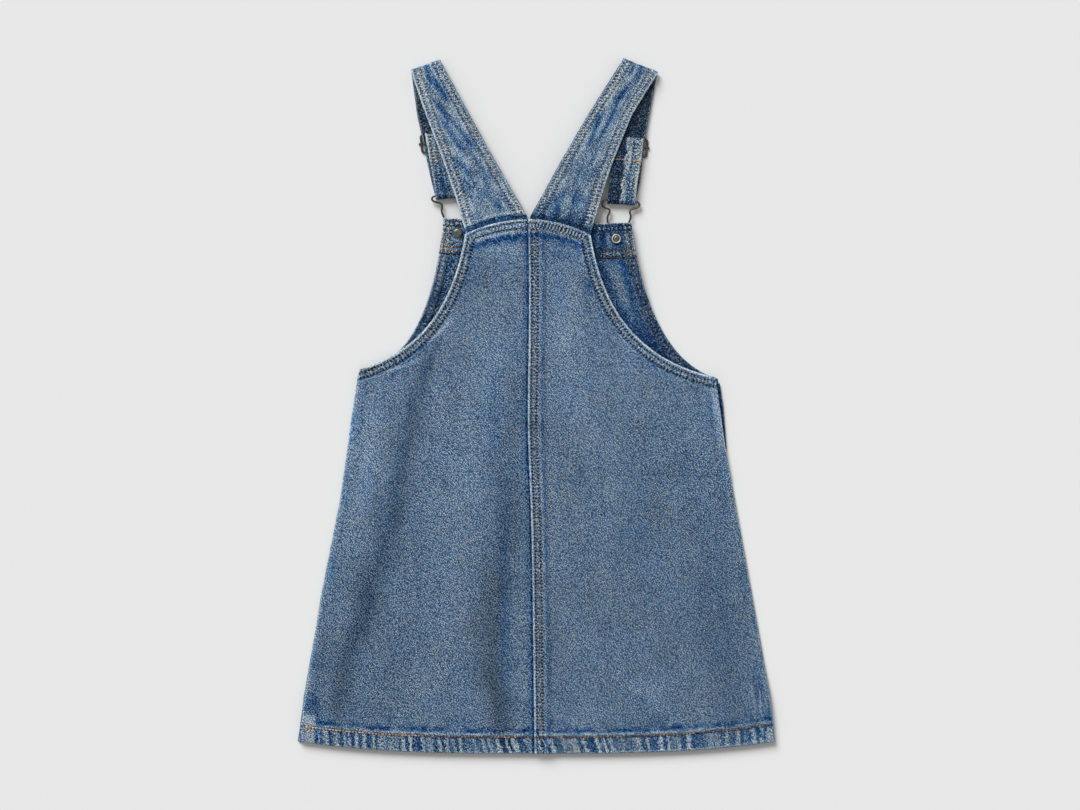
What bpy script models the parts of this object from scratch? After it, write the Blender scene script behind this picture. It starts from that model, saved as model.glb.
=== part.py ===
# Overall skirt: a child's denim dungaree skirt that lies face down, as laid out on a table.
# The front panel is at the bottom, the back panels lie on it, and the straps run up from the
# back, fold under at the shoulders and come down to the slide adjusters and wire hooks.
#
# All sizes below are millimetres. MM turns them into metres where a mesh is made.
# X is across the skirt, Y runs up to the shoulders, Z is up from the table.

import math

import bmesh
import bpy
from mathutils import Vector

MM = 0.001

# Cloth
CLOTH = 1.0  # wall of one layer of denim
GAP = 0.3  # clearance between pieces that touch
HEM_DEPTH = 15.5
HEM_THICK = 3.0  # the hem is turned up twice
HEM_STEP = 1.5  # run in which the hem's thickness ends
EDGE_TURN = 9.5  # width of the turned armhole edges of the front
TURN_START = 0.12  # share of the armhole's curve that they leave bare at the side seam
FACING_DEPTH = 35.0  # bib facing, down from the bib's top edge
LAP = 15.0  # overlap of the centre-back seam
LAP_STEP = 3.0  # run in which the overlap's rise ends
PLACKET_WIDTH = 11.0
STRAP_THICK = 2.2

# Heights above the table
BIB_RISE = 5.4  # the bib rests on the button heads and the hooks
BIB_RISE_Y = (60.0, 148.0)  # where along Y the bib climbs to that height
BIB_CENTRE_SHARE = 0.6  # share of that height left at the bib's middle
BIB_SLOPE_HALF = 60.0  # half width over which it sags
BACK_REST = 1.4  # the back panels lie this far off the front, over the turned edges
SEAM_DIP = 4.0  # the back comes down to the front within this distance of a side seam
BACK_PUFF = 1.0  # and away from the sides they stand this much higher
PUFF_RUN = 40.0  # distance from the side seam over which they do
STRAP_STACK = 2.9  # added height where the strap ends lie under the back's top edge
STACK_RUN = (13.0, 80.0)  # distance below the top edge over which that height ends
HEM_RUN = 70.0  # distance above the hem over which the hem's height ends

# Fastenings
WIRE = 2.0
WIRE_HEIGHT = 3.9  # centre of the hook's wire, between the button head and the bib
BUTTON_RADIUS = 8.5
BUTTON_NECK = 3.5
TACK_RADIUS = 4.6
SLIDE_WIDTH = 36.0
SLIDE_LENGTH = 19.5
SLIDE_BAR = 2.4
SLIDE_THICK = 1.8
SLIDE_KNOB = 1.6  # the bar's ends stand out this far, and are this wide

# Outline. The armholes are Bezier curves from the side seam up: end, two handles, end.
BACK_TOP_MIDDLE = (-8.0, 185.5)
BACK_TOP_RADIUS = 150.0
BACK_ARMHOLE = {
    "left": ((-177.2, 36.2), (-100.0, 58.0), (-78.0, 125.0), (-71.2, 172.0)),
    "right": ((177.6, 28.4), (81.0, 50.0), (61.0, 126.0), (54.0, 172.0)),
}
FRONT_ARMHOLE = {
    "left": ((-177.0, 36.0), (-111.0, 42.0), (-98.0, 140.0), (-92.5, 187.5)),
    "right": ((181.0, 27.0), (117.0, 45.0), (100.0, 140.0), (94.5, 182.5)),
}
BIB_TOP_DIP = 3.0
ARMPIT_LEVEL = 32.0
CENTRE_SEAM = (-8.0, 185.0, -0.0125)  # x and y of its top, and how far x shifts for each y
HEM_MIDDLE = (-5.0, -347.5)
HEM_HALF = 235.0
HEM_LIFT = 12.0  # the hem rises this much to each side seam

# Side seams, from the hem up: y, then x of each panel's edge
SIDE_SEAM = (
    # y, back left, back right, front left, front right
    (-336.0, -237.0, 238.0, -238.5, 237.4),
    (-289.5, -231.5, 233.4, -232.6, 232.8),
    (-184.5, -214.5, 214.5, -214.5, 214.2),
    (-94.5, -196.5, 198.2, -196.5, 198.0),
    (-43.5, -189.2, 189.0, -189.2, 190.0),
    (0.5, -183.2, 182.8, -183.2, 186.4),
    (36.2, -177.2, 177.4, -177.0, 181.0),
)
OPENING_Y = (-43.5, 22.0)  # the right side seam is open here, over a placket
OPENING_EASE = 32.0  # the back stays off the front this far below the opening

# Soft folds of the back: a line, half width and height, where a trough is negative
FOLDS = (
    # x0, y0, x1, y1, half width, height
    (-106.0, 66.0, -188.0, -258.0, 16.0, -1.0),
    (-134.0, 20.0, -215.0, -280.0, 24.0, 1.0),
    (-34.0, -70.0, -30.0, -320.0, 18.0, -0.7),
    (-80.0, 150.0, -84.0, 20.0, 22.0, 0.8),
    (60.0, 120.0, 96.0, -300.0, 34.0, 0.9),
    (150.0, 20.0, 196.0, -290.0, 26.0, -0.6),
)

# Straps. The upper run comes from the back's top edge to the shoulder fold; the front run
# goes on from there under it, to the fold over the hook, and its end doubles back on top.
# A row has both edges as x, y and the height of the band's middle at each edge.
UPPER_RUN = {
    "left": (
        # inner x, y, outer x, y, inner height, outer height
        (-9.5, 175.5, -68.5, 163.0, 7.8, 9.5),
        (-8.0, 187.0, -71.5, 174.5, 7.8, 9.5),
        (-23.0, 219.5, -80.2, 206.1, 8.5, 9.3),
        (-38.5, 250.5, -95.5, 250.7, 8.9, 8.9),
        (-70.0, 294.5, -112.1, 294.1, 7.6, 7.4),
    ),
    "right": (
        (-6.0, 175.5, 51.5, 161.0, 7.8, 9.5),
        (-7.3, 187.0, 55.0, 173.5, 7.8, 9.5),
        (8.5, 215.0, 64.5, 207.0, 8.5, 9.3),
        (23.5, 242.5, 76.0, 242.0, 8.9, 8.9),
        (51.1, 290.0, 95.4, 290.0, 7.6, 7.4),
    ),
}
SHOULDER = {
    # inner x, y, outer x, y of the fold
    "left": (-96.1, 345.7, -126.1, 335.2),
    "right": (86.6, 347.3, 121.7, 333.2),
}
SHOULDER_RADIUS = 2.3
SHOULDER_HEIGHT = 3.7
FRONT_RUN = {
    "left": (
        (-88.4, 290.0, -119.0, 288.0, 2.4, 2.4),
        (-84.0, 274.0, -114.7, 270.0, 3.2, 3.2),
        (-80.5, 255.0, -111.0, 252.0, 3.2, 3.2),
        (-74.5, 225.0, -105.3, 225.0, 2.2, 2.2),
    ),
    "right": (
        (82.6, 288.0, 112.0, 287.0, 2.4, 2.4),
        (79.0, 270.0, 108.6, 268.5, 3.2, 3.2),
        (76.6, 248.0, 106.2, 247.0, 3.2, 3.2),
        (73.6, 222.0, 103.4, 222.0, 2.2, 2.2),
    ),
}
HOOK_FOLD = {
    "left": (-71.6, 207.4, -100.8, 205.4),
    "right": (70.4, 201.4, 98.6, 199.6),
}
HOOK_FOLD_RADIUS = 2.4
DOUBLED_END = {
    "left": (
        (-74.0, 225.0, -102.6, 224.0, 6.3, 6.3),
        (-78.6, 250.0, -107.2, 247.0, 5.9, 5.9),
        (-83.0, 274.0, -111.4, 271.6, 5.8, 5.8),
    ),
    "right": (
        (73.0, 222.0, 100.8, 222.0, 6.3, 6.3),
        (76.0, 246.0, 104.8, 245.0, 5.9, 5.9),
        (78.6, 268.5, 107.2, 266.4, 5.8, 5.8),
    ),
}
FOLD_STEPS = 6
SLIDE_CENTRE = {"left": (-98.2, 263.0, 6.0), "right": (93.4, 258.4, -4.0)}  # x, y, turn
BUTTON_CENTRE = {"left": (-78.5, 171.9), "right": (79.5, 166.3)}

# Half of the hook's wire, from the button neck up to the bar that the strap holds: distance
# across from its axis, and along it as a share of the way from the neck to the bar
HOOK_HALF = (
    # across, share
    (4.9, 0.04),
    (5.6, 0.16),
    (9.6, 0.34),
    (11.2, 0.48),
    (11.4, 0.60),
    (10.0, 0.70),
    (9.8, 0.78),
    (14.6, 0.835),
    (17.8, 0.90),
    (18.4, 0.95),
    (16.4, 1.00),
)
NECK_STEPS = 6

# How finely the panels are divided
BACK_ROW_STEP = 32.0
FRONT_ROW_STEP = 45.0
ARMHOLE_ROWS = 10
BACK_COLUMNS = 8
FRONT_COLUMNS = 12

DENIM = (0.105, 0.165, 0.245, 1.0)
DENIM_INSIDE = (0.075, 0.115, 0.175, 1.0)
METAL = (0.19, 0.175, 0.16, 1.0)


def mix(a, b, share):
    return a + (b - a) * share


def smooth(low, high, value):
    share = min(max((value - low) / (high - low), 0.0), 1.0)
    return share * share * (3 - 2 * share)


def bezier(curve, t):
    weights = ((1 - t) ** 3, 3 * t * (1 - t) ** 2, 3 * t * t * (1 - t), t**3)
    return tuple(sum(w * point[axis] for w, point in zip(weights, curve)) for axis in (0, 1))


def seam_x(column, y):
    """x of a side seam edge at y, straight between the rows of the table."""
    for low, high in zip(SIDE_SEAM, SIDE_SEAM[1:]):
        if y <= high[0]:
            break
    share = min(max((y - low[0]) / (high[0] - low[0]), 0.0), 1.0)
    return mix(low[column], high[column], share)


def hem_y(x):
    return HEM_MIDDLE[1] + HEM_LIFT * abs((x - HEM_MIDDLE[0]) / HEM_HALF) ** 3


def back_top_y(x):
    return BACK_TOP_MIDDLE[1] - (x - BACK_TOP_MIDDLE[0]) ** 2 / (2 * BACK_TOP_RADIUS)


def centre_seam_x(y):
    """The folded edge that laps at the centre back leans a little from top to hem."""
    x, top_y, lean = CENTRE_SEAM
    return x + (y - top_y) * lean


def fold_height(x, y):
    height = 0.0
    for x0, y0, x1, y1, half, depth in FOLDS:
        along = Vector((x1 - x0, y1 - y0))
        reach = Vector((x - x0, y - y0))
        share = min(max(reach.dot(along) / along.length_squared, 0.0), 1.0)
        off = (reach - along * share).length
        height += depth * math.exp(-((off / half) ** 2))
    return height


def front_under(x, y):
    climb = smooth(*BIB_RISE_Y, y)
    sag = mix(BIB_CENTRE_SHARE, 1.0, smooth(0.0, BIB_SLOPE_HALF, abs(x)))
    return BIB_RISE * climb * sag


def hem_share(x, y):
    """1 inside the turned-up hem, 0 above it."""
    return 1.0 - smooth(HEM_DEPTH, HEM_DEPTH + HEM_STEP, y - hem_y(x))


def front_top(x, y):
    return front_under(x, y) + mix(CLOTH, HEM_THICK, hem_share(x, y))


def lying_under(x, y):
    """Underside of a piece that lies on the front panel's inner face."""
    return front_under(x, y) + CLOTH + GAP


def lying_top(x, y):
    return lying_under(x, y) + CLOTH


def back_top(x, y):
    """Upper face of the back panels, away from the centre lap."""
    beside_armhole = y > SIDE_SEAM[-1][0]
    edge = seam_x(1 if x < 0 else 2, y)
    from_side = PUFF_RUN if beside_armhole else abs(edge - x)
    opening = x > 0 and y > OPENING_Y[0] - OPENING_EASE
    rest = BACK_REST * (1.0 if opening else smooth(0.0, SEAM_DIP, from_side))
    puff = (BACK_PUFF + fold_height(x, y)) * smooth(0.0, PUFF_RUN, from_side)
    stack = STRAP_STACK * (1.0 - smooth(*STACK_RUN, back_top_y(x) - y))
    field = front_under(x, y) + CLOTH + GAP + rest + max(puff, 0.0) + stack + CLOTH
    hem_top = HEM_THICK + GAP + HEM_THICK
    return mix(hem_top, field, smooth(HEM_DEPTH, HEM_DEPTH + HEM_RUN, y - hem_y(x)))


def back_under(x, y):
    return back_top(x, y) - mix(CLOTH, HEM_THICK, hem_share(x, y))


def lap_share(x, y):
    """1 where the right back panel lies on the left one at the centre back."""
    return 1.0 - smooth(LAP, LAP + LAP_STEP, x - centre_seam_x(y))


def lap_top(x, y):
    return back_top(x, y) + (CLOTH + GAP) * lap_share(x, y)


def lap_under(x, y):
    single = mix(CLOTH, HEM_THICK, hem_share(x, y) * (1.0 - lap_share(x, y)))
    return lap_top(x, y) - single


def shares(count):
    return [step / count for step in range(count + 1)]


def spaced(start, end, near_start, near_end, count):
    """Columns from start to end: fixed distances from each end, even shares between."""
    width = end - start
    sign = math.copysign(1.0, width)
    first = [start + sign * d for d in near_start]
    last = [end - sign * d for d in reversed(near_end)]
    middle = [mix(first[-1], last[0], s) for s in shares(count)[1:-1]]
    return first + middle + last


def hem_rows(top_y, bottom_y, step):
    """Shares of the way from the hem up to the armhole: the hem's own rows, then even ones."""
    length = top_y - bottom_y
    first = [0.0, HEM_DEPTH / length, (HEM_DEPTH + HEM_STEP) / length]
    count = round(length / step)
    return first + [mix(first[-1], 1.0, s) for s in shares(count)[1:]]


def back_grid(side):
    """Rows of (x, y) from the side or armhole edge to the centre-back edge."""
    column = 1 if side == "left" else 2
    corner = BACK_ARMHOLE[side][0]
    seam_past = LAP - 1.0 if side == "left" else 0.0
    near_centre = (0.0, LAP - 1.0) if side == "left" else (0.0, LAP, LAP + LAP_STEP)

    def row(edge, flat):
        """Flat gives a level row at each x; it is bent to meet the edge's own y."""
        lift = edge[1] - flat(edge[0])
        middle_x = BACK_TOP_MIDDLE[0]
        end = centre_seam_x(flat(middle_x)) + seam_past
        across = spaced(edge[0], end, (0.0, SEAM_DIP), near_centre, BACK_COLUMNS)
        bend = [((x - middle_x) / (edge[0] - middle_x)) ** 2 for x in across]
        return [(x, flat(x) + lift * share) for x, share in zip(across, bend)]

    grid = []
    for share in hem_rows(corner[1], HEM_MIDDLE[1], BACK_ROW_STEP):
        y = mix(hem_y(HEM_HALF), corner[1], share)
        grid.append(row((seam_x(column, y), y), lambda x: mix(hem_y(x), ARMPIT_LEVEL, share)))
    for t in shares(ARMHOLE_ROWS)[1:]:
        edge = bezier(BACK_ARMHOLE[side], t)
        grid.append(row(edge, lambda x: mix(ARMPIT_LEVEL, back_top_y(x), t)))
    return grid


def front_grid():
    """Rows of (x, y) from the left edge to the right edge, hem to bib top."""
    left, right = FRONT_ARMHOLE["left"], FRONT_ARMHOLE["right"]
    grid = []
    for share in hem_rows(left[0][1], HEM_MIDDLE[1], FRONT_ROW_STEP):
        y = mix(hem_y(HEM_HALF), left[0][1], share)
        ends = seam_x(3, y), seam_x(4, y)
        row = []
        for s in shares(FRONT_COLUMNS):
            x = mix(*ends, s)
            row.append((x, mix(hem_y(x), mix(left[0][1], right[0][1], s), share)))
        grid.append(row)
    for t in shares(ARMHOLE_ROWS)[1:]:
        grid.append(bib_row(t))
    return grid


def bib_row(t):
    start, end = (bezier(FRONT_ARMHOLE[side], t) for side in ("left", "right"))
    dip = BIB_TOP_DIP * t
    return [
        (mix(start[0], end[0], s), mix(start[1], end[1], s) - dip * 4 * s * (1 - s))
        for s in shares(FRONT_COLUMNS)
    ]


def armhole_at_y(side, y):
    """Where along the front armhole's curve it reaches a height."""
    low, high = 0.0, 1.0
    for _ in range(30):
        t = (low + high) / 2
        low, high = (t, high) if bezier(FRONT_ARMHOLE[side], t)[1] < y else (low, t)
    return (low + high) / 2


def facing_grid():
    """The bib facing: its top edge is the bib's, its lower edge runs parallel to it."""
    grid = []
    for share in shares(3):
        drop = FACING_DEPTH * (1.0 - share)
        ends = []
        for side in ("left", "right"):
            y = FRONT_ARMHOLE[side][3][1] - drop
            ends.append(bezier(FRONT_ARMHOLE[side], armhole_at_y(side, y)))
        grid.append([
            (mix(ends[0][0], ends[1][0], s),
             mix(ends[0][1], ends[1][1], s) - BIB_TOP_DIP * 4 * s * (1 - s))
            for s in shares(FRONT_COLUMNS)
        ])
    return grid


def turned_edge_grid(side):
    """A band inside the front's armhole, from near the side seam up to the facing."""
    curve = FRONT_ARMHOLE[side]
    end = armhole_at_y(side, curve[3][1] - FACING_DEPTH - GAP - 1.0)
    turn = -1.0 if side == "left" else 1.0
    grid = []
    for s in shares(ARMHOLE_ROWS):
        t = mix(TURN_START, end, s)
        here, ahead = Vector(bezier(curve, t)), Vector(bezier(curve, t + 0.01))
        along = (ahead - here).normalized()
        inward = Vector((-along.y, along.x)) * turn
        inner = here + inward * EDGE_TURN
        grid.append([tuple(here), tuple(inner)])
    return grid


def placket_grid():
    """The underlap along the side opening, inside the front panel's right edge."""
    grid = []
    for s in shares(4):
        y = mix(*OPENING_Y, s)
        edge = seam_x(4, y)
        grid.append([(edge - PLACKET_WIDTH, y), (edge, y)])
    return grid


def material(name, color, metallic, roughness):
    made = bpy.data.materials.new(name)
    made.use_nodes = True
    shader = made.node_tree.nodes["Principled BSDF"]
    shader.inputs["Base Color"].default_value = color
    shader.inputs["Metallic"].default_value = metallic
    shader.inputs["Roughness"].default_value = roughness
    return made


def denim(name, color=DENIM):
    return material(name + "_denim", color, 0.0, 0.85)


def metal(name):
    return material(name + "_metal", METAL, 1.0, 0.38)


def mesh_object(name, bm, finish):
    bmesh.ops.recalc_face_normals(bm, faces=bm.faces)
    mesh = bpy.data.meshes.new(name)
    bm.to_mesh(mesh)
    bm.free()
    obj = bpy.data.objects.new(name, mesh)
    bpy.context.scene.collection.objects.link(obj)
    mesh.materials.append(finish)
    return obj


def point(x, y, z):
    return Vector((x * MM, y * MM, z * MM))


def grid_faces(bm, rows):
    verts = [[bm.verts.new(co) for co in row] for row in rows]
    for lower, upper in zip(verts, verts[1:]):
        for a, b, c, d in zip(lower, lower[1:], upper[1:], upper):
            bm.faces.new((a, b, c, d))


def cloth_piece(name, grid, top, under, finish):
    """A wall of cloth: its upper face on the grid, extruded down to its underside."""
    bm = bmesh.new()
    grid_faces(bm, [[point(x, y, top(x, y)) for x, y in row] for row in grid])
    made = bmesh.ops.extrude_face_region(bm, geom=bm.faces[:])["geom"]
    for vert in made:
        if isinstance(vert, bmesh.types.BMVert):
            vert.co.z = under(vert.co.x / MM, vert.co.y / MM) * MM
    return mesh_object(name, bm, finish)


def round_fold(ends, centre_height, radius, outward, rising):
    """Band rows round a fold, whose outermost line is at ends."""
    inner, outer = Vector(ends[:2]), Vector(ends[2:])
    across = (outer - inner).normalized()
    normal = Vector((-across.y, across.x))
    if normal.dot(Vector(outward)) < 0:
        normal = -normal
    rows = []
    for s in shares(FOLD_STEPS):
        angle = math.pi * (s - 0.5) * (1 if rising else -1)
        out = radius * math.cos(angle) - radius - STRAP_THICK / 2
        height = centre_height + radius * math.sin(angle)
        a, b = inner + normal * out, outer + normal * out
        rows.append((a.x, a.y, b.x, b.y, height, height))
    return rows


def strap(side):
    """One band: under the back's edge, up to the shoulder, down in front, back on itself."""
    rows = list(UPPER_RUN[side])
    rows += round_fold(SHOULDER[side], SHOULDER_HEIGHT, SHOULDER_RADIUS, (0, 1), False)
    rows += FRONT_RUN[side]
    rows += round_fold(HOOK_FOLD[side], WIRE_HEIGHT, HOOK_FOLD_RADIUS, (0, -1), True)
    rows += DOUBLED_END[side]
    bm = bmesh.new()
    grid_faces(bm, [
        [point(ix, iy, iz), point(mix(ix, ox, 0.5), mix(iy, oy, 0.5), mix(iz, oz, 0.5)),
         point(ox, oy, oz)]
        for ix, iy, ox, oy, iz, oz in rows
    ])
    obj = mesh_object("strap_" + side, bm, denim("strap_" + side))
    wall = obj.modifiers.new("strap layers", "SOLIDIFY")
    wall.thickness = STRAP_THICK * MM
    wall.offset = 0.0
    wall.use_even_offset = True
    return obj


def slide(side):
    """Slide adjuster: a flat frame with a middle bar, whose ends stand out as knobs."""
    x, y, turn = SLIDE_CENTRE[side]
    half_w, half_l, knob = SLIDE_WIDTH / 2, SLIDE_LENGTH / 2, SLIDE_KNOB
    rail, bar = half_w - SLIDE_BAR, half_l - SLIDE_BAR
    columns = (-half_w - knob, -half_w, -rail, rail, half_w, half_w + knob)
    lines = (-half_l, -bar, -knob / 2, knob / 2, bar, half_l)
    bm = bmesh.new()
    verts = [[bm.verts.new(point(cx, cy, 0.0)) for cx in columns] for cy in lines]
    for i, (lower, upper) in enumerate(zip(verts, verts[1:])):
        for j, quad in enumerate(zip(lower, lower[1:], upper[1:], upper)):
            slot = j == 2 and i in (1, 3)
            beside = j in (0, 4) and i != 2
            if not slot and not beside:
                bm.faces.new(quad)
    loose = [vert for vert in bm.verts if not vert.link_faces]
    bmesh.ops.delete(bm, geom=loose, context="VERTS")
    made = bmesh.ops.extrude_face_region(bm, geom=bm.faces[:])["geom"]
    lifted = [part for part in made if isinstance(part, bmesh.types.BMVert)]
    bmesh.ops.translate(bm, verts=lifted, vec=point(0, 0, SLIDE_THICK))
    obj = mesh_object("slide_" + side, bm, metal("slide_" + side))
    obj.location = point(x, y, 0.0)
    obj.rotation_euler.z = math.radians(turn)
    return obj


def hook_outline(side):
    """The wire's middle line, once round: the bar in the strap's fold, then the button neck."""
    fold = HOOK_FOLD[side]
    ends = sorted((Vector(fold[:2]), Vector(fold[2:])), key=lambda end: end.x)
    bar = (ends[1] - ends[0]).normalized()
    seat = HOOK_FOLD_RADIUS + STRAP_THICK / 2
    top = (ends[0] + ends[1]) / 2 + Vector((-bar.y, bar.x)) * seat
    button = Vector(BUTTON_CENTRE[side])
    axis = top - button
    along, across = axis.normalized(), Vector((axis.y, -axis.x)).normalized()

    def arm(sign):
        """One side of the wire, which turns parallel to the bar as it nears the strap."""
        return [
            button + axis * share + across.lerp(bar, smooth(0.8, 0.95, share)) * width * sign
            for width, share in HOOK_HALF
        ]

    radius = HOOK_HALF[0][0]
    neck = []
    for s in shares(NECK_STEPS)[1:-1]:
        angle = math.pi * s
        neck.append(button - across * radius * math.cos(angle) - along * radius * math.sin(angle))
    return arm(-1)[::-1] + neck + arm(1)


def hook(side):
    """Wire hook: one bent wire whose ends meet, so a closed loop."""
    curve = bpy.data.curves.new("hook_" + side, "CURVE")
    curve.dimensions = "3D"
    curve.bevel_depth = WIRE / 2 * MM
    curve.bevel_resolution = 2
    outline = hook_outline(side)
    spline = curve.splines.new("POLY")
    spline.points.add(len(outline) - 1)
    for slot, place in zip(spline.points, outline):
        slot.co = (*point(place.x, place.y, WIRE_HEIGHT), 1.0)
    spline.use_cyclic_u = True
    obj = bpy.data.objects.new("hook_" + side, curve)
    bpy.context.scene.collection.objects.link(obj)
    curve.materials.append(metal("hook_" + side))
    return obj


def turned(name, profile, place, finish):
    """A round piece: its profile (radius, height) spun about the vertical."""
    bm = bmesh.new()
    verts = [bm.verts.new(point(r, 0.0, z)) for r, z in profile]
    edges = [bm.edges.new(pair) for pair in zip(verts, verts[1:])]
    bmesh.ops.spin(
        bm, geom=verts + edges, cent=(0, 0, 0), axis=(0, 0, 1),
        angle=math.tau, steps=24, use_merge=True, use_duplicate=False,
    )
    bmesh.ops.remove_doubles(bm, verts=bm.verts, dist=0.01 * MM)
    obj = mesh_object(name, bm, finish)
    obj.location = point(*place)
    for face in obj.data.polygons:
        face.use_smooth = True
    obj.data.set_sharp_from_angle(angle=math.radians(35))
    return obj


def button(side):
    """Tack button: a domed head that faces the table, and its neck up to the bib."""
    x, y = BUTTON_CENTRE[side]
    neck_top = front_under(x, y) - GAP
    profile = (
        (0.0, 0.0), (BUTTON_RADIUS * 0.45, 0.0), (BUTTON_RADIUS * 0.86, 0.4),
        (BUTTON_RADIUS, 1.3), (BUTTON_RADIUS, 1.9), (BUTTON_RADIUS * 0.9, 2.4),
        (BUTTON_NECK, 2.4), (BUTTON_NECK, neck_top), (0.0, neck_top),
    )
    return turned("button_" + side, profile, (x, y, 0.0), metal("button_" + side))


def tack(side):
    """The button's tack on the inner side of the bib: a disc with a rim and a hollow."""
    x, y = BUTTON_CENTRE[side]
    seat = lying_top(x, y) + GAP
    r = TACK_RADIUS
    profile = (
        (0.0, 0.0), (r * 0.92, 0.0), (r, 0.5), (r * 0.92, 1.3), (r * 0.7, 1.7),
        (r * 0.5, 1.3), (r * 0.32, 0.9), (0.0, 0.9),
    )
    return turned("tack_" + side, profile, (x, y, seat), metal("tack_" + side))


def clear_scene():
    for obj in list(bpy.data.objects):
        bpy.data.objects.remove(obj, do_unlink=True)


def build():
    clear_scene()
    cloth_piece("front_panel", front_grid(), front_top, front_under, denim("front_panel"))
    for name, grid in (
        ("bib_facing", facing_grid()),
        ("side_placket", placket_grid()),
        ("armhole_turn_left", turned_edge_grid("left")),
        ("armhole_turn_right", turned_edge_grid("right")),
    ):
        cloth_piece(name, grid, lying_top, lying_under, denim(name, DENIM_INSIDE))
    cloth_piece("back_left", back_grid("left"), back_top, back_under, denim("back_left"))
    cloth_piece("back_right", back_grid("right"), lap_top, lap_under, denim("back_right"))
    for side in ("left", "right"):
        strap(side)
        slide(side)
        hook(side)
        button(side)
        tack(side)


build()
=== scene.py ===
# Looks of a child's denim overall skirt that lies face down on a table.
# Lengths here are millimetres, and mm turns them into metres where a mesh is made.
# X is across the skirt, Y runs up to the shoulders, Z is up from the table.
import math

import bpy
import numpy as np
from mathutils import Matrix, Vector
from mathutils.bvhtree import BVHTree


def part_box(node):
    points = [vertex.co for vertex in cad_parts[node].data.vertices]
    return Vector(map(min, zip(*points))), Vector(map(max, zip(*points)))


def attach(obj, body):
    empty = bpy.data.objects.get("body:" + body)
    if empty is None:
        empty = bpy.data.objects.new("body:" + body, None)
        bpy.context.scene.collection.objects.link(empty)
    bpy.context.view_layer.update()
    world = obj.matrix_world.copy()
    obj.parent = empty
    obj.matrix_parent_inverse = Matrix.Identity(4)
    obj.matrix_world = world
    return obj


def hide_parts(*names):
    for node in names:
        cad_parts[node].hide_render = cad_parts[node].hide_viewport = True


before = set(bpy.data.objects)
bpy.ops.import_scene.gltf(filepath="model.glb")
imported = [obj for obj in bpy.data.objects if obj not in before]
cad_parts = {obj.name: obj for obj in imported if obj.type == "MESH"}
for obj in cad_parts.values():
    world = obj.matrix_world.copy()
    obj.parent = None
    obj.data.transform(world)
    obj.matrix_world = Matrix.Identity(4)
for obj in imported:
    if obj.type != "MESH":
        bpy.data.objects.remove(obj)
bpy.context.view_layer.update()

mm = 0.001

# the garment's cut and lie: its solids' own, but for a slightly lower top edge and a bowed centre seam

cloth = {"wall": 1.0, "gap": 0.3, "hemDepth": 15.5, "hemThick": 3.0, "hemStep": 1.5, "hemPivot": 8.0}
lie = {
    "bibRise": 5.4, "bibRiseFrom": 60.0, "bibRiseTo": 148.0, "bibMiddleShare": 0.6, "bibSagHalf": 60.0,
    "backRest": 1.4, "seamDip": 4.0, "backPuff": 1.0, "puffRun": 40.0,
    "strapStack": 2.9, "stackFrom": 13.0, "stackTo": 80.0, "hemRun": 70.0, "openingFrom": -75.5,
}
outline = {
    "hemMiddle": (-5.0, -347.5), "hemHalf": 235.0, "hemLift": 12.0,
    "topMiddle": (-8.0, 185.5), "topRadius": 136.0, "topRadiusRight": 123.0,
    "seamTop": (-8.0, 185.0), "seamLean": -0.0125, "lap": 15.0, "lapStep": 3.0,
    "seamBow": 2.6, "bowMiddle": -20.0, "bowHalf": 75.0, "bowFoot": 0.5, "bowFrom": 60.0, "bowTo": 140.0,
    "topSlant": 0.97,  # a step square to the top edge, as a share of one straight down
    "armpitLevel": 32.0, "bibTopDip": 3.0, "openingTop": 22.0, "openingFoot": -43.5,
}
backArmhole = {
    "left": ((-177.2, 36.2), (-100.0, 58.0), (-78.0, 125.0), (-71.2, 170.8)),
    "right": ((177.6, 28.4), (81.0, 50.0), (61.0, 126.0), (54.0, 169.9)),
}
frontArmhole = {
    "left": ((-177.0, 36.0), (-111.0, 42.0), (-98.0, 140.0), (-92.5, 187.5)),
    "right": ((181.0, 27.0), (117.0, 45.0), (100.0, 140.0), (94.5, 182.5)),
}
sideSeamY = (-336.0, -289.5, -184.5, -94.5, -43.5, 0.5, 36.2)  # heights up the side seams
sideSeamX = {
    "backLeft": (-237.0, -231.5, -214.5, -196.5, -189.2, -183.2, -177.2),
    "backRight": (238.0, 233.4, 214.5, 198.2, 189.0, 182.8, 177.4),
    "frontLeft": (-238.5, -232.6, -214.5, -196.5, -189.2, -183.2, -177.0),
    "frontRight": (237.4, 232.8, 214.2, 198.0, 190.0, 186.4, 181.0),
}
broadFolds = (  # from x, y to x, y, half width, height
    (-106, 66, -188, -258, 16, -1), (-134, 20, -215, -280, 24, 1), (-34, -70, -30, -320, 18, -0.7),
    (-80, 150, -84, 20, 22, 0.8), (60, 120, 96, -300, 34, 0.9), (150, 20, 196, -290, 26, -0.6),
)
stitchShape = {  # one stitch, and how evenly they are laid
    "pitch": 3.3, "length": 2.3, "radius": 0.54, "flat": 0.85, "bentFrom": 0.36, "dip": 0.4, "seat": 0.16,
    "under": 0.5, "short": 0.8, "long": 1.34, "jitter": 0.1, "jitterUp": 0.3, "turn": 0.07, "hueSpread": 0.09,
}


# small helpers on arrays

def mix(a, b, share):
    return a + (b - a) * share


def smooth(low, high, value):
    share = np.clip((value - low) / (high - low), 0.0, 1.0)
    return share * share * (3 - 2 * share)


def bump(value, middle, half):
    return np.exp(-(((value - middle) / half) ** 2))


def bumps(value, middles, half):
    return sum(bump(value, middle, half) for middle in middles)


def band(value, low, high, soft):
    # 1 between low and high, fading over soft at both ends
    return smooth(low - soft, low + soft, value) * (1 - smooth(high - soft, high + soft, value))


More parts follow.
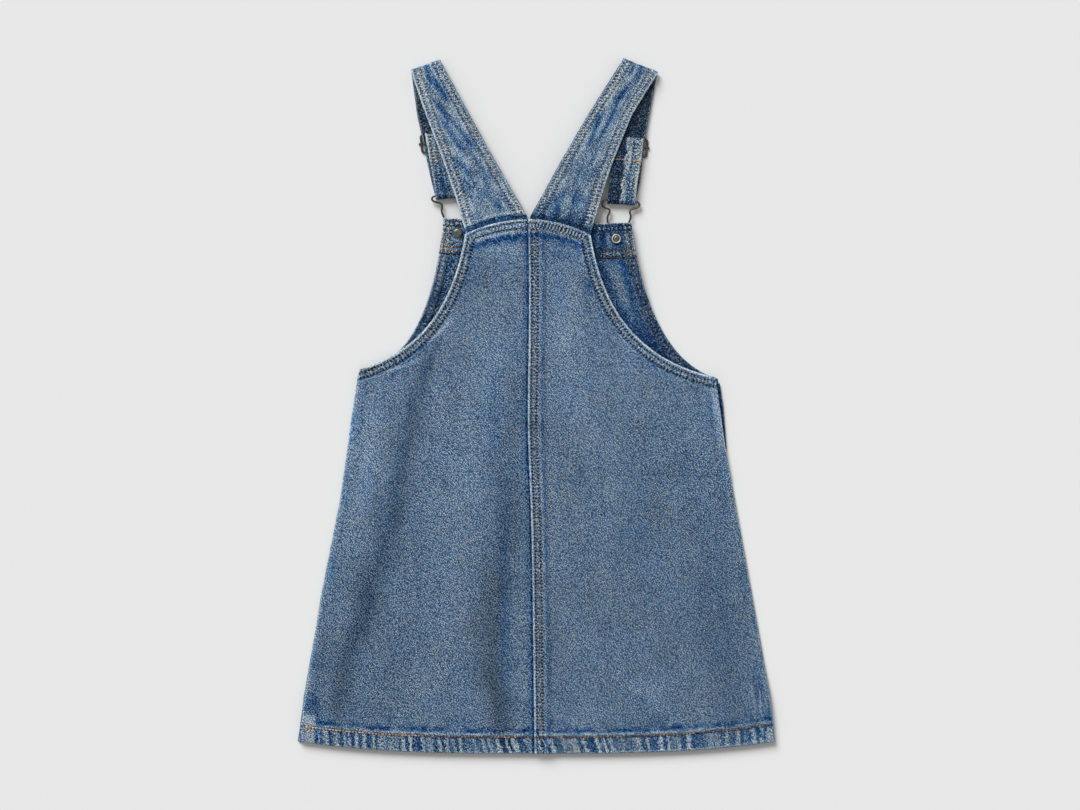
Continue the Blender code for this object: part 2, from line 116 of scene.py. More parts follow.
def wander(t, seed):
    # a slow uneven line between about -1 and 1, which turns over about every 6 of t
    turn = np.random.default_rng(seed).uniform(0, math.tau, 4)
    waves = ((1.0, 1.0), (0.7, 1.73), (0.5, 2.91), (0.35, 4.43))
    return sum(a * np.sin(rate * t + phase) for (a, rate), phase in zip(waves, turn)) / 1.7


def uneven(t, seed, middle=0.0, depth=1.0, most=1.0):
    # such a line as a strength between 0 and most
    return np.clip(middle + depth * wander(t, seed), 0, most)


def ripple(run, pitch, seed):
    # puckers along a seam, uneven in spacing and depth, between about -1 and 1
    turns = math.tau * run / pitch + 1.5 * wander(run / pitch * 0.9, seed)
    return np.sin(turns) * (0.7 + 0.4 * wander(run / pitch * 1.3, seed + 50))


def turnsOf(run, pitch, seed, loose=0.3):
    # how many puckers lie behind each place along a seam, counted so that their spacing is uneven
    return run / pitch + loose * wander(run / pitch * 1.1, seed)


def crested(turns, share):
    # the same count, hurried between the crests so that they stand out broader
    return turns + share * np.sin(math.tau * turns) / math.tau


def beads(run, pitch, seed):
    # light and dark from stitch to stitch, 0 to 1
    return (0.5 - 0.5 * np.cos(math.tau * run / pitch)) * (0.8 + 0.35 * wander(run / pitch * 0.7, seed))


def cloud(x, y, size, seed):
    # a patchy field between about -1 and 1, its patches about half of size across
    random = np.random.default_rng(seed)
    total = 0.0
    for _ in range(9):
        angle, phase = random.uniform(0, math.tau, 2)
        rate = math.tau / size * random.uniform(0.6, 1.6)
        total = total + np.sin((x * math.cos(angle) + y * math.sin(angle)) * rate + phase)
    return total / 3.4


def bezier(curve, t):
    t = np.asarray(t, float)[..., None]
    a, b, c, d = (np.array(point) for point in curve)
    return (1 - t) ** 3 * a + 3 * t * (1 - t) ** 2 * b + 3 * t * t * (1 - t) * c + t**3 * d


def lineLength(line):
    steps = np.linalg.norm(np.diff(line, axis=0), axis=1)
    return np.concatenate([[0.0], np.cumsum(steps)])


def lineAt(at, run, line):
    # the points of a line at these places along it
    return np.stack([np.interp(at, run, line[:, i]) for i in range(line.shape[1])], 1)


def unit(ways):
    return ways / np.linalg.norm(ways, axis=1)[:, None]


def beside(x, y, line):
    # how far each point is from a line, and how far along it the nearest place is
    points = np.stack([np.ravel(x), np.ravel(y)], 1)
    start, step = line[:-1], np.diff(line, axis=0)
    along = lineLength(line)
    length = np.linalg.norm(step, axis=1)
    off, run = np.empty(len(points)), np.empty(len(points))
    for low in range(0, len(points), 6000):
        part = slice(low, low + 6000)
        reach = points[part, None, :] - start
        share = np.clip((reach * step).sum(2) / length**2, 0, 1)
        gaps = np.linalg.norm(reach - share[..., None] * step, axis=2)
        best = gaps.argmin(1)
        rows = np.arange(len(best))
        off[part] = gaps[rows, best]
        run[part] = along[best] + share[rows, best] * length[best]
    return off.reshape(np.shape(x)), run.reshape(np.shape(x))


def strokeOff(x, y, x0, y0, x1, y1):
    # how far each point is along a straight stroke, as a share of it, and off it
    ax, ay = x1 - x0, y1 - y0
    share = np.clip(((x - x0) * ax + (y - y0) * ay) / (ax * ax + ay * ay), 0, 1)
    return share, np.hypot(x - x0 - share * ax, y - y0 - share * ay)


def streakField(x, y, streaks):
    # sum of strokes with frayed edges: from x, y to x, y, half width, strength
    total = np.zeros(np.shape(x))
    fray = cloud(x, y, 5.0, 9)
    for *ends, half, strength in streaks:
        share, off = strokeOff(x, y, *ends)
        off = off + 0.4 * half * fray
        fade = 0.35 + 0.65 * np.sin(math.pi * np.clip(share, 0.04, 0.96)) ** 0.5
        total = total + strength * fade * np.exp(-((np.abs(off) / half) ** 3))
    return total


def foldShadeField(x, y, folds):
    # how much lighter or darker each fold makes its surroundings, as painted shade and light of the folds
    # with some tone of the wash: along it x, y, half width and amount
    total = np.zeros(np.shape(x))
    for fold in folds:
        knots = np.array(fold, float)
        run = lineLength(knots[:, :2])
        off, at = beside(x, y, knots[:, :2])
        half = np.interp(at, run, knots[:, 2])
        total = total + np.interp(at, run, knots[:, 3]) * np.exp(-((off / half) ** 2))
    return total


# the lie of the panels

def seamX(edge, y):
    return np.interp(y, sideSeamY, sideSeamX[edge])


def hemY(x):
    reach = np.abs((x - outline["hemMiddle"][0]) / outline["hemHalf"])
    return outline["hemMiddle"][1] + outline["hemLift"] * reach**3


def topY(x):
    across, up = outline["topMiddle"]
    radius = np.where(np.asarray(x) > across, outline["topRadiusRight"], outline["topRadius"])
    return up - (np.asarray(x) - across) ** 2 / (2 * radius)


def centreX(y):
    # the fold of the centre seam, which bows a little to the left of the solids' straight one
    p = outline
    straight = p["seamTop"][0] + (y - p["seamTop"][1]) * p["seamLean"]
    bow = p["seamBow"] * bump(y, p["bowMiddle"], p["bowHalf"])
    return straight - bow - p["bowFoot"] * (1 - smooth(p["bowFrom"], p["bowTo"], y))


def frontUnder(x, y):
    climb = smooth(lie["bibRiseFrom"], lie["bibRiseTo"], y)
    sag = mix(lie["bibMiddleShare"], 1.0, smooth(0.0, lie["bibSagHalf"], np.abs(x)))
    return lie["bibRise"] * climb * sag


def hemShare(x, y):
    return 1.0 - smooth(cloth["hemDepth"], cloth["hemDepth"] + cloth["hemStep"], y - hemY(x))


def frontTop(x, y):
    return frontUnder(x, y) + mix(cloth["wall"], cloth["hemThick"], hemShare(x, y))


def lyingUnder(x, y):
    return frontUnder(x, y) + cloth["wall"] + cloth["gap"]


def foldHeight(x, y):
    height = np.zeros(np.shape(x))
    for *ends, half, depth in broadFolds:
        _, off = strokeOff(x, y, *ends)
        height = height + depth * np.exp(-((off / half) ** 2))
    return height


def backTop(x, y):
    edge = np.where(x < 0, seamX("backLeft", y), seamX("backRight", y))
    fromSide = np.where(y > sideSeamY[-1], lie["puffRun"], np.abs(edge - x))
    openSide = (x > 0) & (y > lie["openingFrom"])
    rest = lie["backRest"] * np.where(openSide, 1.0, smooth(0.0, lie["seamDip"], fromSide))
    puff = (lie["backPuff"] + foldHeight(x, y)) * smooth(0.0, lie["puffRun"], fromSide)
    stack = lie["strapStack"] * (1.0 - smooth(lie["stackFrom"], lie["stackTo"], topY(x) - y))
    field = frontUnder(x, y) + cloth["gap"] + rest + np.maximum(puff, 0.0) + stack + 2 * cloth["wall"]
    hemTop = 2 * cloth["hemThick"] + cloth["gap"]
    share = smooth(cloth["hemDepth"], cloth["hemDepth"] + lie["hemRun"], y - hemY(x))
    return mix(hemTop, field, share)


def lapShare(x, y):
    return 1.0 - smooth(outline["lap"], outline["lap"] + outline["lapStep"], x - centreX(y))


# a closed shell of cloth from two sheets of points that share their border

def written(mesh, label, kind, values):
    # numbers or vectors that a mesh carries at its points
    attribute = mesh.attributes.new(label, kind, "POINT")
    attribute.data.foreach_set("vector" if "VECTOR" in kind else "value", values.astype(np.float32).ravel())


def linked(name, data):
    piece = bpy.data.objects.new(name, data)
    bpy.context.scene.collection.objects.link(piece)
    return piece


def shell(name, upper, lower, marks, grain):
    # upper and lower are rows of points; marks are numbers for each point of both sheets
    rows, columns = upper.shape[:2]
    top = np.arange(rows * columns).reshape(rows, columns)
    under = top.copy()
    under[1:-1, 1:-1] = rows * columns + np.arange((rows - 2) * (columns - 2)).reshape(rows - 2, columns - 2)
    quads = []
    for index, turn in ((top, 1), (under, -1)):
        corners = (index[:-1, :-1], index[:-1, 1:], index[1:, 1:], index[1:, :-1])
        quads.append(np.stack([c.ravel() for c in corners][::turn], 1))
    faces = np.concatenate(quads)
    points = np.concatenate([upper.reshape(-1, 3), lower[1:-1, 1:-1].reshape(-1, 3)])
    i, j = rows // 2, columns // 2
    facing = np.cross(upper[i, j + 1] - upper[i, j], upper[i + 1, j] - upper[i, j])
    if facing @ (upper[i, j] - lower[i, j]) < 0:  # the rows run the other way, so the faces turn over
        faces = faces[:, ::-1]
    mesh = bpy.data.meshes.new(name)
    mesh.from_pydata((points * mm).tolist(), [], faces.tolist())
    mesh.shade_smooth()
    for label, (above, below) in marks.items():
        written(mesh, label, "FLOAT", np.concatenate([np.ravel(above), below[1:-1, 1:-1].ravel()]))
    grains = np.concatenate([grain.reshape(-1, 3), grain[1:-1, 1:-1].reshape(-1, 3)])
    written(mesh, "grain", "FLOAT_VECTOR", grains * mm)
    return linked(name, mesh)


def rolled(distance, radius):
    # how far the face has risen from the edge's middle line, as a quarter round
    share = np.clip(distance / radius, 0.0, 1.0)
    return np.sqrt(np.maximum(1 - (1 - share) ** 2, 0.0))


def borderDistance(x, y):
    # the least distance to the grid's own border, which is exact at the border itself
    loops = [
        np.stack([x[0], y[0]], 1), np.stack([x[-1], y[-1]], 1),
        np.stack([x[:, 0], y[:, 0]], 1), np.stack([x[:, -1], y[:, -1]], 1),
    ]
    best = np.full(x.shape, 4.0)
    near = np.zeros(x.shape, bool)
    near[:14], near[-14:], near[:, :14], near[:, -14:] = True, True, True, True
    for line in loops:
        off, _ = beside(x[near], y[near], line)
        best[near] = np.minimum(best[near], off)
    best[0], best[-1], best[:, 0], best[:, -1] = 0.0, 0.0, 0.0, 0.0
    return best


plainUnder = {"tone": 0.9, "worn": 0.0, "deep": 0.15, "soot": 0.2, "rungs": 0.0, "beat": 0.0}


def flatPiece(name, x, y, top, under, marks, layer, below=plainUnder):
    # a sheet over the table, with the marks of its upper face and of the one below
    half = np.maximum((top - under) / 2, 0.3)
    middle = (top + under) / 2
    rise = rolled(borderDistance(x, y), half) * half
    upper = np.stack([x, y, middle + rise], 2)
    lower = np.stack([x, y, middle - rise], 2)
    grain = np.stack([x, y, np.full(x.shape, float(layer))], 2)
    pairs = {key: (above, np.broadcast_to(below.get(key, 0.0), x.shape)) for key, above in marks.items()}
    return shell(name, upper, lower, pairs, grain)


def liningPiece(name, x, y, relief, marks, layer):
    # a strip or panel that lies on the front's inner side
    under = lyingUnder(x, y)
    return flatPiece(name, x, y, under + cloth["wall"] + relief, under, marks, layer)


# distances from an edge at which points lie, close together where its stitching is
edgeSteps = np.array([
    0.0, 0.12, 0.4, 0.8, 1.3, 1.8, 2.2, 2.6, 3.0, 3.6, 4.4, 5.3, 6.2, 7.0,
    7.6, 8.1, 8.6, 9.1, 9.7, 10.5, 11.6, 13.0, 15.0, 17.2,
])
hemSteps = np.array([
    0.0, 0.12, 0.4, 0.9, 1.5, 2.3, 3.3, 4.4, 5.6, 6.8, 8.0, 9.2, 10.4, 11.6, 12.8, 13.8,
    14.5, 15.0, 15.5, 16.1, 17.0, 18.2, 19.6, 21.2, 23.0, 25.2, 27.6,
])


def armholeShares(length, gap):
    # shares of an armhole's curve: even at first, then the top edge's own steps
    near = 1.0 - edgeSteps[::-1] / length
    count = int(round(near[0] * length / gap))
    return np.concatenate([np.linspace(0.0, near[0], count + 1)[1:-1], near])


def armholeLine(curve):
    # the armhole's edge as a line of points, carried on a little past the side seam
    line = bezier(curve, np.linspace(0, 1, 121))
    start, handle = np.array(curve[0]), np.array(curve[1])
    before = start - (handle - start) / np.linalg.norm(handle - start) * 14.0
    return np.concatenate([[before], line])


def armholeScale(curve, shares):
    # how much further apart level steps are than steps square to the curve
    ahead = bezier(curve, np.minimum(shares + 0.004, 1.0)) - bezier(curve, np.maximum(shares - 0.004, 0.0))
    return np.hypot(ahead[:, 0], ahead[:, 1]) / np.abs(ahead[:, 1])


def scaleAtFoot(curve, most):
    return min(armholeScale(curve, np.array([0.0]))[0], most)


def skirtShares(length, gap):
    near = hemSteps / length
    count = int(round((1 - near[-1]) * length / gap))
    return np.concatenate([near, np.linspace(near[-1], 1.0, count + 1)[1:]])


# back panels

backPiece = {
    "grid": 2.35, "rowGap": 2.3, "turned": 0.5, "grooveDepth": 0.3, "rope": 0.14, "ropePitch": 4.1,
    "rows": (3.0, 8.7), "armRows": (3.8, 9.0),  # how far in from the top edge and the armholes
    "seamRows": (3.0, 8.8), "seamHues": (0.28, 0.42), "topRun": 300.0,
    "hemStitch": 16.6, "hemPuck": 0.55, "hemPitch": 9.4, "hemCrest": 0.5, "hemThreadUp": 0.2,
    "hemEnds": (-238.0, 236.0), "cloudTone": 0.04, "foldShadeDepth": 1.52,
    "hemKnot": (  # where the hem row is sewn over itself at the left, as x, y and the way along
        (-229.6, -321.4, 1, 0.1), (-228.4, -321.0, 1, 0.2), (-227.2, -321.6, 1, -0.4),
        (-226.4, -322.9, 0.1, -1), (-226.9, -324.6, -0.5, -0.8), (-228.0, -325.6, -1, -0.5),
    ),
    "sway": 0.35,  # height of the slow unevenness of cloth that has been worn and washed
}
foldShadeAndWash = (  # the broad folds of the back, as x, y, half width and how much lighter or darker: painted shade and light of the folds, partly tone of the wash
    (
        (-96, 92, 4, -0.02), (-103, 62, 8, -0.19), (-123, -18, 10, -0.23), (-137, -98, 11, -0.22),
        (-150, -140, 12, -0.23), (-166, -191, 13, -0.24), (-187, -245, 12, -0.24), (-197, -298, 10, -0.2),
        (-202, -330, 9, -0.06),
    ),
    (
        (-14, 66, 7, -0.02), (-16, 42, 10, -0.08), (-22, -20, 12, -0.11), (-27, -71, 15, -0.13),
        (-30, -120, 16, -0.15), (-38, -165, 16, -0.19), (-46, -211, 16, -0.23), (-47, -258, 14, -0.28),
        (-38, -300, 14, -0.25), (-33, -330, 12, -0.2),
    ),
    ((-16, -17, 7, -0.05), (-5, -18, 8, -0.2), (6, -18, 7, -0.04)),
    ((-36, -172, 8, -0.05), (-13, -178, 8, -0.13), (4, -178, 6, -0.08)),
    ((13, -196, 3, -0.02), (13.5, -240, 4, -0.11), (14, -292, 4, -0.05)),
    ((104, -60, 6, -0.03), (120, -65, 8, -0.12), (150, -68, 6, -0.07), (170, -70, 5, -0.02)),
    ((122, -76, 10, -0.06), (118, -108, 12, -0.08), (122, -136, 11, -0.02)),
    ((-53, 150, 5, -0.08), (-50, 118, 5, -0.03)),
    ((-60, 126, 4, -0.05), (-66, 92, 5, -0.06), (-70, 50, 6, -0.03)),
    ((-78, 100, 5, -0.04), (-84, 50, 6, -0.06), (-90, 10, 8, -0.02)),
    ((36, 146, 7, -0.04), (42, 130, 9, -0.08), (48, 100, 8, -0.02)),
    ((150, 24, 6, -0.08), (160, 15, 6, -0.1)),
    ((162, -80, 24, -0.02), (178, -180, 28, -0.07), (196, -310, 26, -0.08)),
    ((-140, -236, 11, -0.05), (-147, -296, 13, -0.08)),
    ((-192, -160, 10, -0.03), (-212, -250, 11, -0.07), (-222, -300, 8, -0.1)),
    ((-166, 24, 9, 0.04), (-163, -12, 13, 0.15), (-166, -60, 13, 0.13), (-178, -112, 10, 0.04)),
    ((-33, 128, 9, 0.07), (-40, 84, 12, 0.11), (-58, 10, 18, 0.08), (-80, -90, 24, 0.09)),
    ((-82, -100, 22, 0.02), (-98, -180, 20, 0.07), (-114, -250, 14, 0.06), (-106, -312, 9, 0.07)),
    ((26, 126, 11, 0.06), (30, 66, 14, 0.09), (36, -10, 16, 0.03)),
    ((26, -216, 16, 0.03), (66, -262, 13, 0.07), (124, -298, 10, 0.11), (140, -312, 7, 0.06)),
    ((-212, -60, 6, 0.04), (-206, -60, 6, 0.02)),
    ((34, -30, 22, -0.03), (60, -34, 20, 0.0)),
    ((10, -71, 1.6, -0.07), (90, -69, 1.6, -0.03), (176, -72, 1.6, -0.05)),
)
blueStrokes = (  # darker, bluer strokes of wash: from x, y to x, y, half width, strength
    (-33, -76, -31, -312, 6, 0.3), (-44, 40, -40, -60, 8, 0.12), (-100, 60, -126, 0, 5, 0.22),
    (-126, 0, -143, -104, 7, 0.2), (-143, -104, -187, -256, 9, 0.16), (-140, 36, -146, 26, 1.6, 0.5),
    (-133, 42, -138, 31, 1.4, 0.4), (-182, -6, -184, -34, 3.5, 0.35), (-189, -70, -192, -104, 3, 0.28),
    (-203, -150, -206, -176, 3.5, 0.3), (-222, -246, -225, -268, 4, 0.32),
    (-226, -292, -225, -304, 5.5, 0.6), (-219, -292, -219.5, -305, 3, 0.5), (172, 16, 176, -30, 1.8, 0.25),
    (184, -60, 188, -110, 3.5, 0.25), (205, -160, 210, -196, 3.5, 0.22), (219, -260, 226, -296, 4, 0.2),
    (230, -307, 234, -314, 4.2, 0.6), (221.5, -322, 227.5, -335, 1.3, 0.8), (56, 148, 48, 96, 5, 0.28),
    (-60, 150, -64, 110, 5, 0.2), (24, 152, 26, 90, 5, 0.12), (10, 152, 50, 147, 5, 0.18),
    (219, -278, 221, -300, 1.4, 0.4), (96, -20, 110, -180, 14, 0.08), (160, -60, 196, -300, 14, 0.1),
)
paleStrokes = (  # paler strokes of wear, in the same order
    (-60, 128, -66, 60, 9, 0.12), (-58, 154, -14, 154, 6, 0.16), (-108, 62, -84, 86, 2.2, 0.5),
    (-150, 33, -112, 48, 2, 0.35), (-170, -40, -196, -200, 12, 0.1), (40, 130, 30, 40, 12, 0.12),
    (-50, -200, -52, -320, 10, 0.1), (-70, -60, -86, -250, 14, 0.1), (214, -276, 217, -308, 1.1, 0.4),
    (222.5, -284, 224.5, -312, 1, 0.5), (228, -250, 230.5, -268, 1.2, 0.3),
)
paleBlocks = (  # flat seam allowances that have worn pale: from x to x, from y to y, amount
    (-233, -219.6, -320.4, -308.6, 0.5), (-234.6, -221, -337, -322.6, 0.42),
    (229.6, 238, -336, -321.6, 0.45),
)
darkBlocks = (  # the blue edges beside them
    (-219.6, -217.2, -338, -308, 0.9), (-240, -234.6, -337, -302, 0.5), (226.6, 229, -334, -321, 0.5),
)


def hemLean(x):
    # the hem's puckers stand nearly upright, and lean most just right of the middle
    return 0.05 + 0.35 * bump(x, 10.0, 90.0)


def hemRun(x):
    # the way along the hem as its puckers pace it, which lie further apart towards the right
    return x - 0.0006 * x * x


def blockField(x, y, blocks):
    # sum of soft-edged oblongs: from x to x, from y to y, amount
    return sum(
        amount * band(x, low, high, 0.8) * band(y, bottom, top, 0.8)
        for low, high, bottom, top, amount in blocks)


def backLook(x, y, side):
    # everything about the back's upper face: its height, its underside, how it has faded and where light and
    # shade are painted on it
    p = backPiece
    arm, armRun = beside(x, y, armholeLine(backArmhole[side]))
    top = (topY(x) - y) * outline["topSlant"]
    rim = np.minimum(arm, top)
    run = np.where(arm < top, armRun, p["topRun"] + x)
    rise = y - hemY(x)
    seam = x - centreX(y)
    edge = np.abs(x - seamX("back" + side.title(), y))
    edge = np.where(y > backArmhole[side][0][1] + 3, 90.0, edge)
    bySeam = (rim > 9.0) & (seam > -2) & (seam < 12)

    pitch = stitchShape["pitch"]
    rope = ripple(run, p["ropePitch"], 11)
    onTop = arm >= top
    byTop = smooth(-2.0, 2.0, arm - top)
    strong = np.where(onTop, mix(0.7, 1.25, smooth(-20.0, 10.0, x)), 0.85)
    ropeBand = band(rim, 1.3, 9.0, 1.2) * strong
    lean = hemLean(x) * (rise - cloth["hemPivot"])
    hemTurns = turnsOf(hemRun(x) + lean, p["hemPitch"], 5, 0.42)
    hemTurns = crested(hemTurns, p["hemCrest"]) + 0.07 * cloud(x, y, 5.0, 37)
    puck = np.cos(math.tau * hemTurns)
    puckBand = band(rise, 0.8, p["hemStitch"] - 0.6, 1.2)
    above = band(rise, 17.5, 24.0, 3.5) * (0.6 + 0.4 * wander(x / 11, 8))
    grooves = sum(bump(rim, mix(a, b, byTop), 0.62) for a, b in zip(p["armRows"], p["rows"]))
    armRows = bumps(rim, p["armRows"], 1.0)
    hemGroove = bump(rise, p["hemStitch"], 0.95)
    seamRows = np.zeros(x.shape)
    away = smooth(14.0, 60.0, rim) * smooth(10.0, 60.0, rise) * smooth(4.0, 45.0, edge)
    away *= smooth(14.0, 50.0, np.abs(seam - 7))

    form = backTop(x, y)
    under = form - mix(cloth["wall"], cloth["hemThick"], hemShare(x, y))
    relief = p["turned"] * (1 - smooth(9.6, 11.4, rim)) - p["grooveDepth"] * grooves
    relief += p["rope"] * rope * ropeBand
    relief += puckBand * p["hemPuck"] * puck * (0.75 + 0.25 * wander(x / 23, 3))
    relief = relief + 0.22 * above * puck - 0.45 * hemGroove + 0.3 * bump(rise, p["hemStitch"] + 2.8, 1.4)
    relief += p["sway"] * away * (cloud(x, y * 0.45, 62.0, 21) + 0.5 * cloud(x, y * 0.7, 30.0, 22))
    strokes, pale = streakField(x, y, blueStrokes), streakField(x, y, paleStrokes)
    relief += 0.5 * (pale - strokes)

    # the folded edge, its two rows and the ladder of pleats between them
    ragged = 1.1 * wander(run / 2.6, 14) + 0.6 * wander(run / 1.1, 15)
    fold = band(rim, -0.8, 1.55, 0.45) * np.where(onTop, 0.76, 1.12) * (0.85 + 0.25 * wander(run / 9, 16))
    fold *= np.where(onTop, 1 - 0.75 * smooth(0.0, 16.0, x), 1.0)
    ladder = np.where(onTop, mix(0.55, 1.6, smooth(-12.0, 8.0, x)), 0.38)
    between = band(rim, np.where(onTop, 3.6, 4.6), np.where(onTop, 8.2, 8.6), 0.6)
    rungs = ladder * between * (0.8 + 0.3 * wander(run / 15, 26))
    worn = fold + 0.3 * np.maximum(rope, 0) * band(rim, 1.4, 2.6, 0.5)
    worn = worn + 0.2 * band(rim, 1.0, 8.6, 1.0) + np.where(onTop, 0.12, 0.0) * band(rim, 4.6, 6.8, 1.0)
    nubs = np.where(onTop, 0.5 * (1 - 0.9 * smooth(-16.0, 4.0, x)), 0.36)
    worn += nubs * band(rim + 0.5 * ragged, np.where(onTop, 10.0, 11.4), 13.0, 0.7)
    # the rows' grooves darker: unworn blue, and painted shade in them
    deep = 0.25 * grooves * (0.5 + 0.5 * byTop) + np.where(onTop, 0.25 * smooth(-6.0, 8.0, x), 0.0) * between
    soot = band(rim, 2.2, 10.4, 0.9) * np.where(onTop, 0.3, 0.5) + 0.9 * grooves
    deep += np.where(onTop, 0.0, 0.55) * band(rim, 9.6, 10.9, 0.7) * uneven(run / 12, 12, 0.7, 0.5)
    reach = np.where(x < centreX(y), 0.0, 1.4)
    blueTop = band(top + ragged + reach, 14.2, 18.6, 1.9) + 0.35 * band(top + ragged, 18.0, 22.0, 2.6)
    blueTop = blueTop * (0.95 + 0.25 * wander(x / 7, 17)) * smooth(3.0, 12.0, arm)
    blueArm = band(arm, 10.8, 14.5, 1.8) * np.maximum(0.25 + 0.5 * wander(armRun / 13, 18), 0)
    deep = deep + 1.15 * blueTop + 0.6 * blueArm * smooth(8.0, 20.0, top)

    # the hem's puckers, the ridge over its row and the blue hollows over that
    flat = smooth(0.35, 0.7, wander((x + lean) / 5.6, 35))
    pleats = mix(0.68, 0.56, smooth(-60.0, 120.0, x)) + 0.4 * wander(x / 13, 7)
    rungs += puckBand * np.clip(pleats, 0.1, 1.1) * (1 - 0.8 * flat)
    worn += puckBand * (0.2 * flat + 0.06 * smooth(-20.0, 60.0, x))
    worn += 0.4 * band(rise, -0.8, 2.2, 0.6)
    ridge = band(rise + 0.5 * wander(x / 3.0, 30), p["hemStitch"] + 1.4, p["hemStitch"] + 4.2, 0.6)
    worn += ridge * (0.52 + 0.3 * wander(x / 6, 31)) * mix(1.0, 0.5, smooth(120.0, 200.0, np.abs(x)))
    # the pucker band greyed, and painted shade along the hem's stitch groove
    soot = soot + 0.4 * puckBand + 0.5 * hemGroove
    deep += 0.5 * band(rise, p["hemStitch"] - 1.4, p["hemStitch"] - 0.2, 0.4)
    hollow = band(rise + 1.2 * wander(x / 3.4, 32), p["hemStitch"] + 4.4, p["hemStitch"] + 8.4, 0.9)
    deep += 0.95 * hollow * np.clip(0.64 + 0.75 * wander(x / 8, 33) + 0.4 * wander(x / 2.2, 36), 0, 1.25)
    deep += 0.2 * band(rise, 24.0, 36.0, 5.0) * uneven(x / 14, 34)

    wornEdge, deepEdge = (0.6, 0.2) if side == "left" else (0.4, 0.45)
    worn = worn + wornEdge * band(edge, -0.8, 1.3, 0.5) + 0.3 * wornEdge * band(edge, 0.8, 6.0, 2.0)
    deep += deepEdge * band(edge, 1.6, 4.6, 1.2) * uneven(y / 13, 41)

    nearTop = smooth(100.0, 155.0, y)
    if side == "right":
        bead = beads(y, pitch, 60)
        lapped = lapShare(x, y)
        rungs += 0.3 * band(seam, 4.0, 7.8, 0.8)
        relief = relief + (cloth["wall"] + cloth["gap"]) * lapped + 0.22 * bump(seam, 0.9, 0.8)
        seamRows = bumps(seam, p["seamRows"], 0.7) * (rim > 9.0)
        relief -= 0.25 * seamRows
        seamFold = band(seam, -0.8, mix(1.9, 1.2, nearTop), 0.5) * (0.9 + 0.2 * wander(y / 25, 65))
        seamFold *= mix(1.0, 0.7, nearTop)
        soot = soot + 0.5 * band(seam, 2.4, 10.2, 0.8) + 0.4 * seamRows
        worn = worn + seamFold * (0.62 + 0.5 * bead) + 0.12 * band(seam, 9.8, 12.6, 1.0)
        worn += 0.28 * band(edge, 1.0, 7.4, 0.9) * band(y, -40.0, 16.0, 6.0)  # along the side opening
        deep += 0.45 * band(seam, 13.2, 15.4, 0.9) * uneven(y / 10, 63, 0.9, 0.45, 1.4)
        under += (cloth["wall"] + cloth["gap"]) * lapped
        under = np.where(lapped > 0.5, form + cloth["gap"], under)
        under = np.minimum(under, form + relief - 0.7)
    else:
        # painted shadow in the gutter beside the lap's folded edge, with deeper blue
        gutter = band(seam, -2.2, 0.8, 0.6) * (0.95 + 0.3 * wander(y / 12, 64) - 0.2 * beads(y, pitch, 60))
        soot += mix(0.9, 1.3, nearTop) * gutter
        deep = deep + 1.25 * gutter + 0.25 * band(seam, -6.0, -1.6, 1.6)
        relief = mix(relief, np.minimum(relief, -0.1) - 0.15, smooth(-2.5, -0.3, seam))

    plain = np.clip(4 * blockField(x, y, paleBlocks), 0, 1)  # no puckers or blotches there
    deep, worn, rungs = (mix(amount, 0.0, plain) for amount in (deep, worn, rungs))
    deep = deep + strokes * (1 - plain) + blockField(x, y, darkBlocks)
    worn = worn + pale + blockField(x, y, paleBlocks)
    # lighter towards the top and darker towards the hem: painted light, as a lamp's falloff; then the folds'
    # painted shade and light
    tone = mix(0.94, 1.12, smooth(-240.0, 160.0, y)) + p["foldShadeDepth"] * foldShadeField(x, y, foldShadeAndWash)
    # painted shade along the hem's stitch groove
    tone -= 0.2 * hemGroove
    tone -= np.where(onTop, 0.36 * smooth(-6.0, 8.0, x), 0.0) * between
    tone += p["cloudTone"] * (cloud(x * 1.3, y * 0.5, 26.0, 71) + cloud(x, y * 0.6, 60.0, 72))
    slant = 0.09 * np.where(onTop, smooth(-10.0, 10.0, x), 0.3) * (rim - 6.0)
    pleatTurns = crested(turnsOf(run, pitch, 11, 0.12), 0.35)
    pleatTurns = np.where(onTop, pleatTurns, turnsOf(run, p["ropePitch"], 11, 0.2))
    beat = np.where(bySeam, turnsOf(y, 4.1, 61), pleatTurns + slant)
    marks = {
        "worn": np.clip(worn, 0, 1.4), "deep": np.clip(deep, 0, 1.3), "soot": np.clip(soot, 0, 1.3),
        "tone": tone, "rows": mix(1.1 * armRows, grooves, byTop) + 0.75 * hemGroove + 1.15 * seamRows,
        "along": np.where(hemGroove > 0.01, x, np.where(bySeam, y, run)),
        "rungs": rungs, "beat": np.where(rise < 30.0, hemTurns, beat),
    }
    return form + relief, under, marks


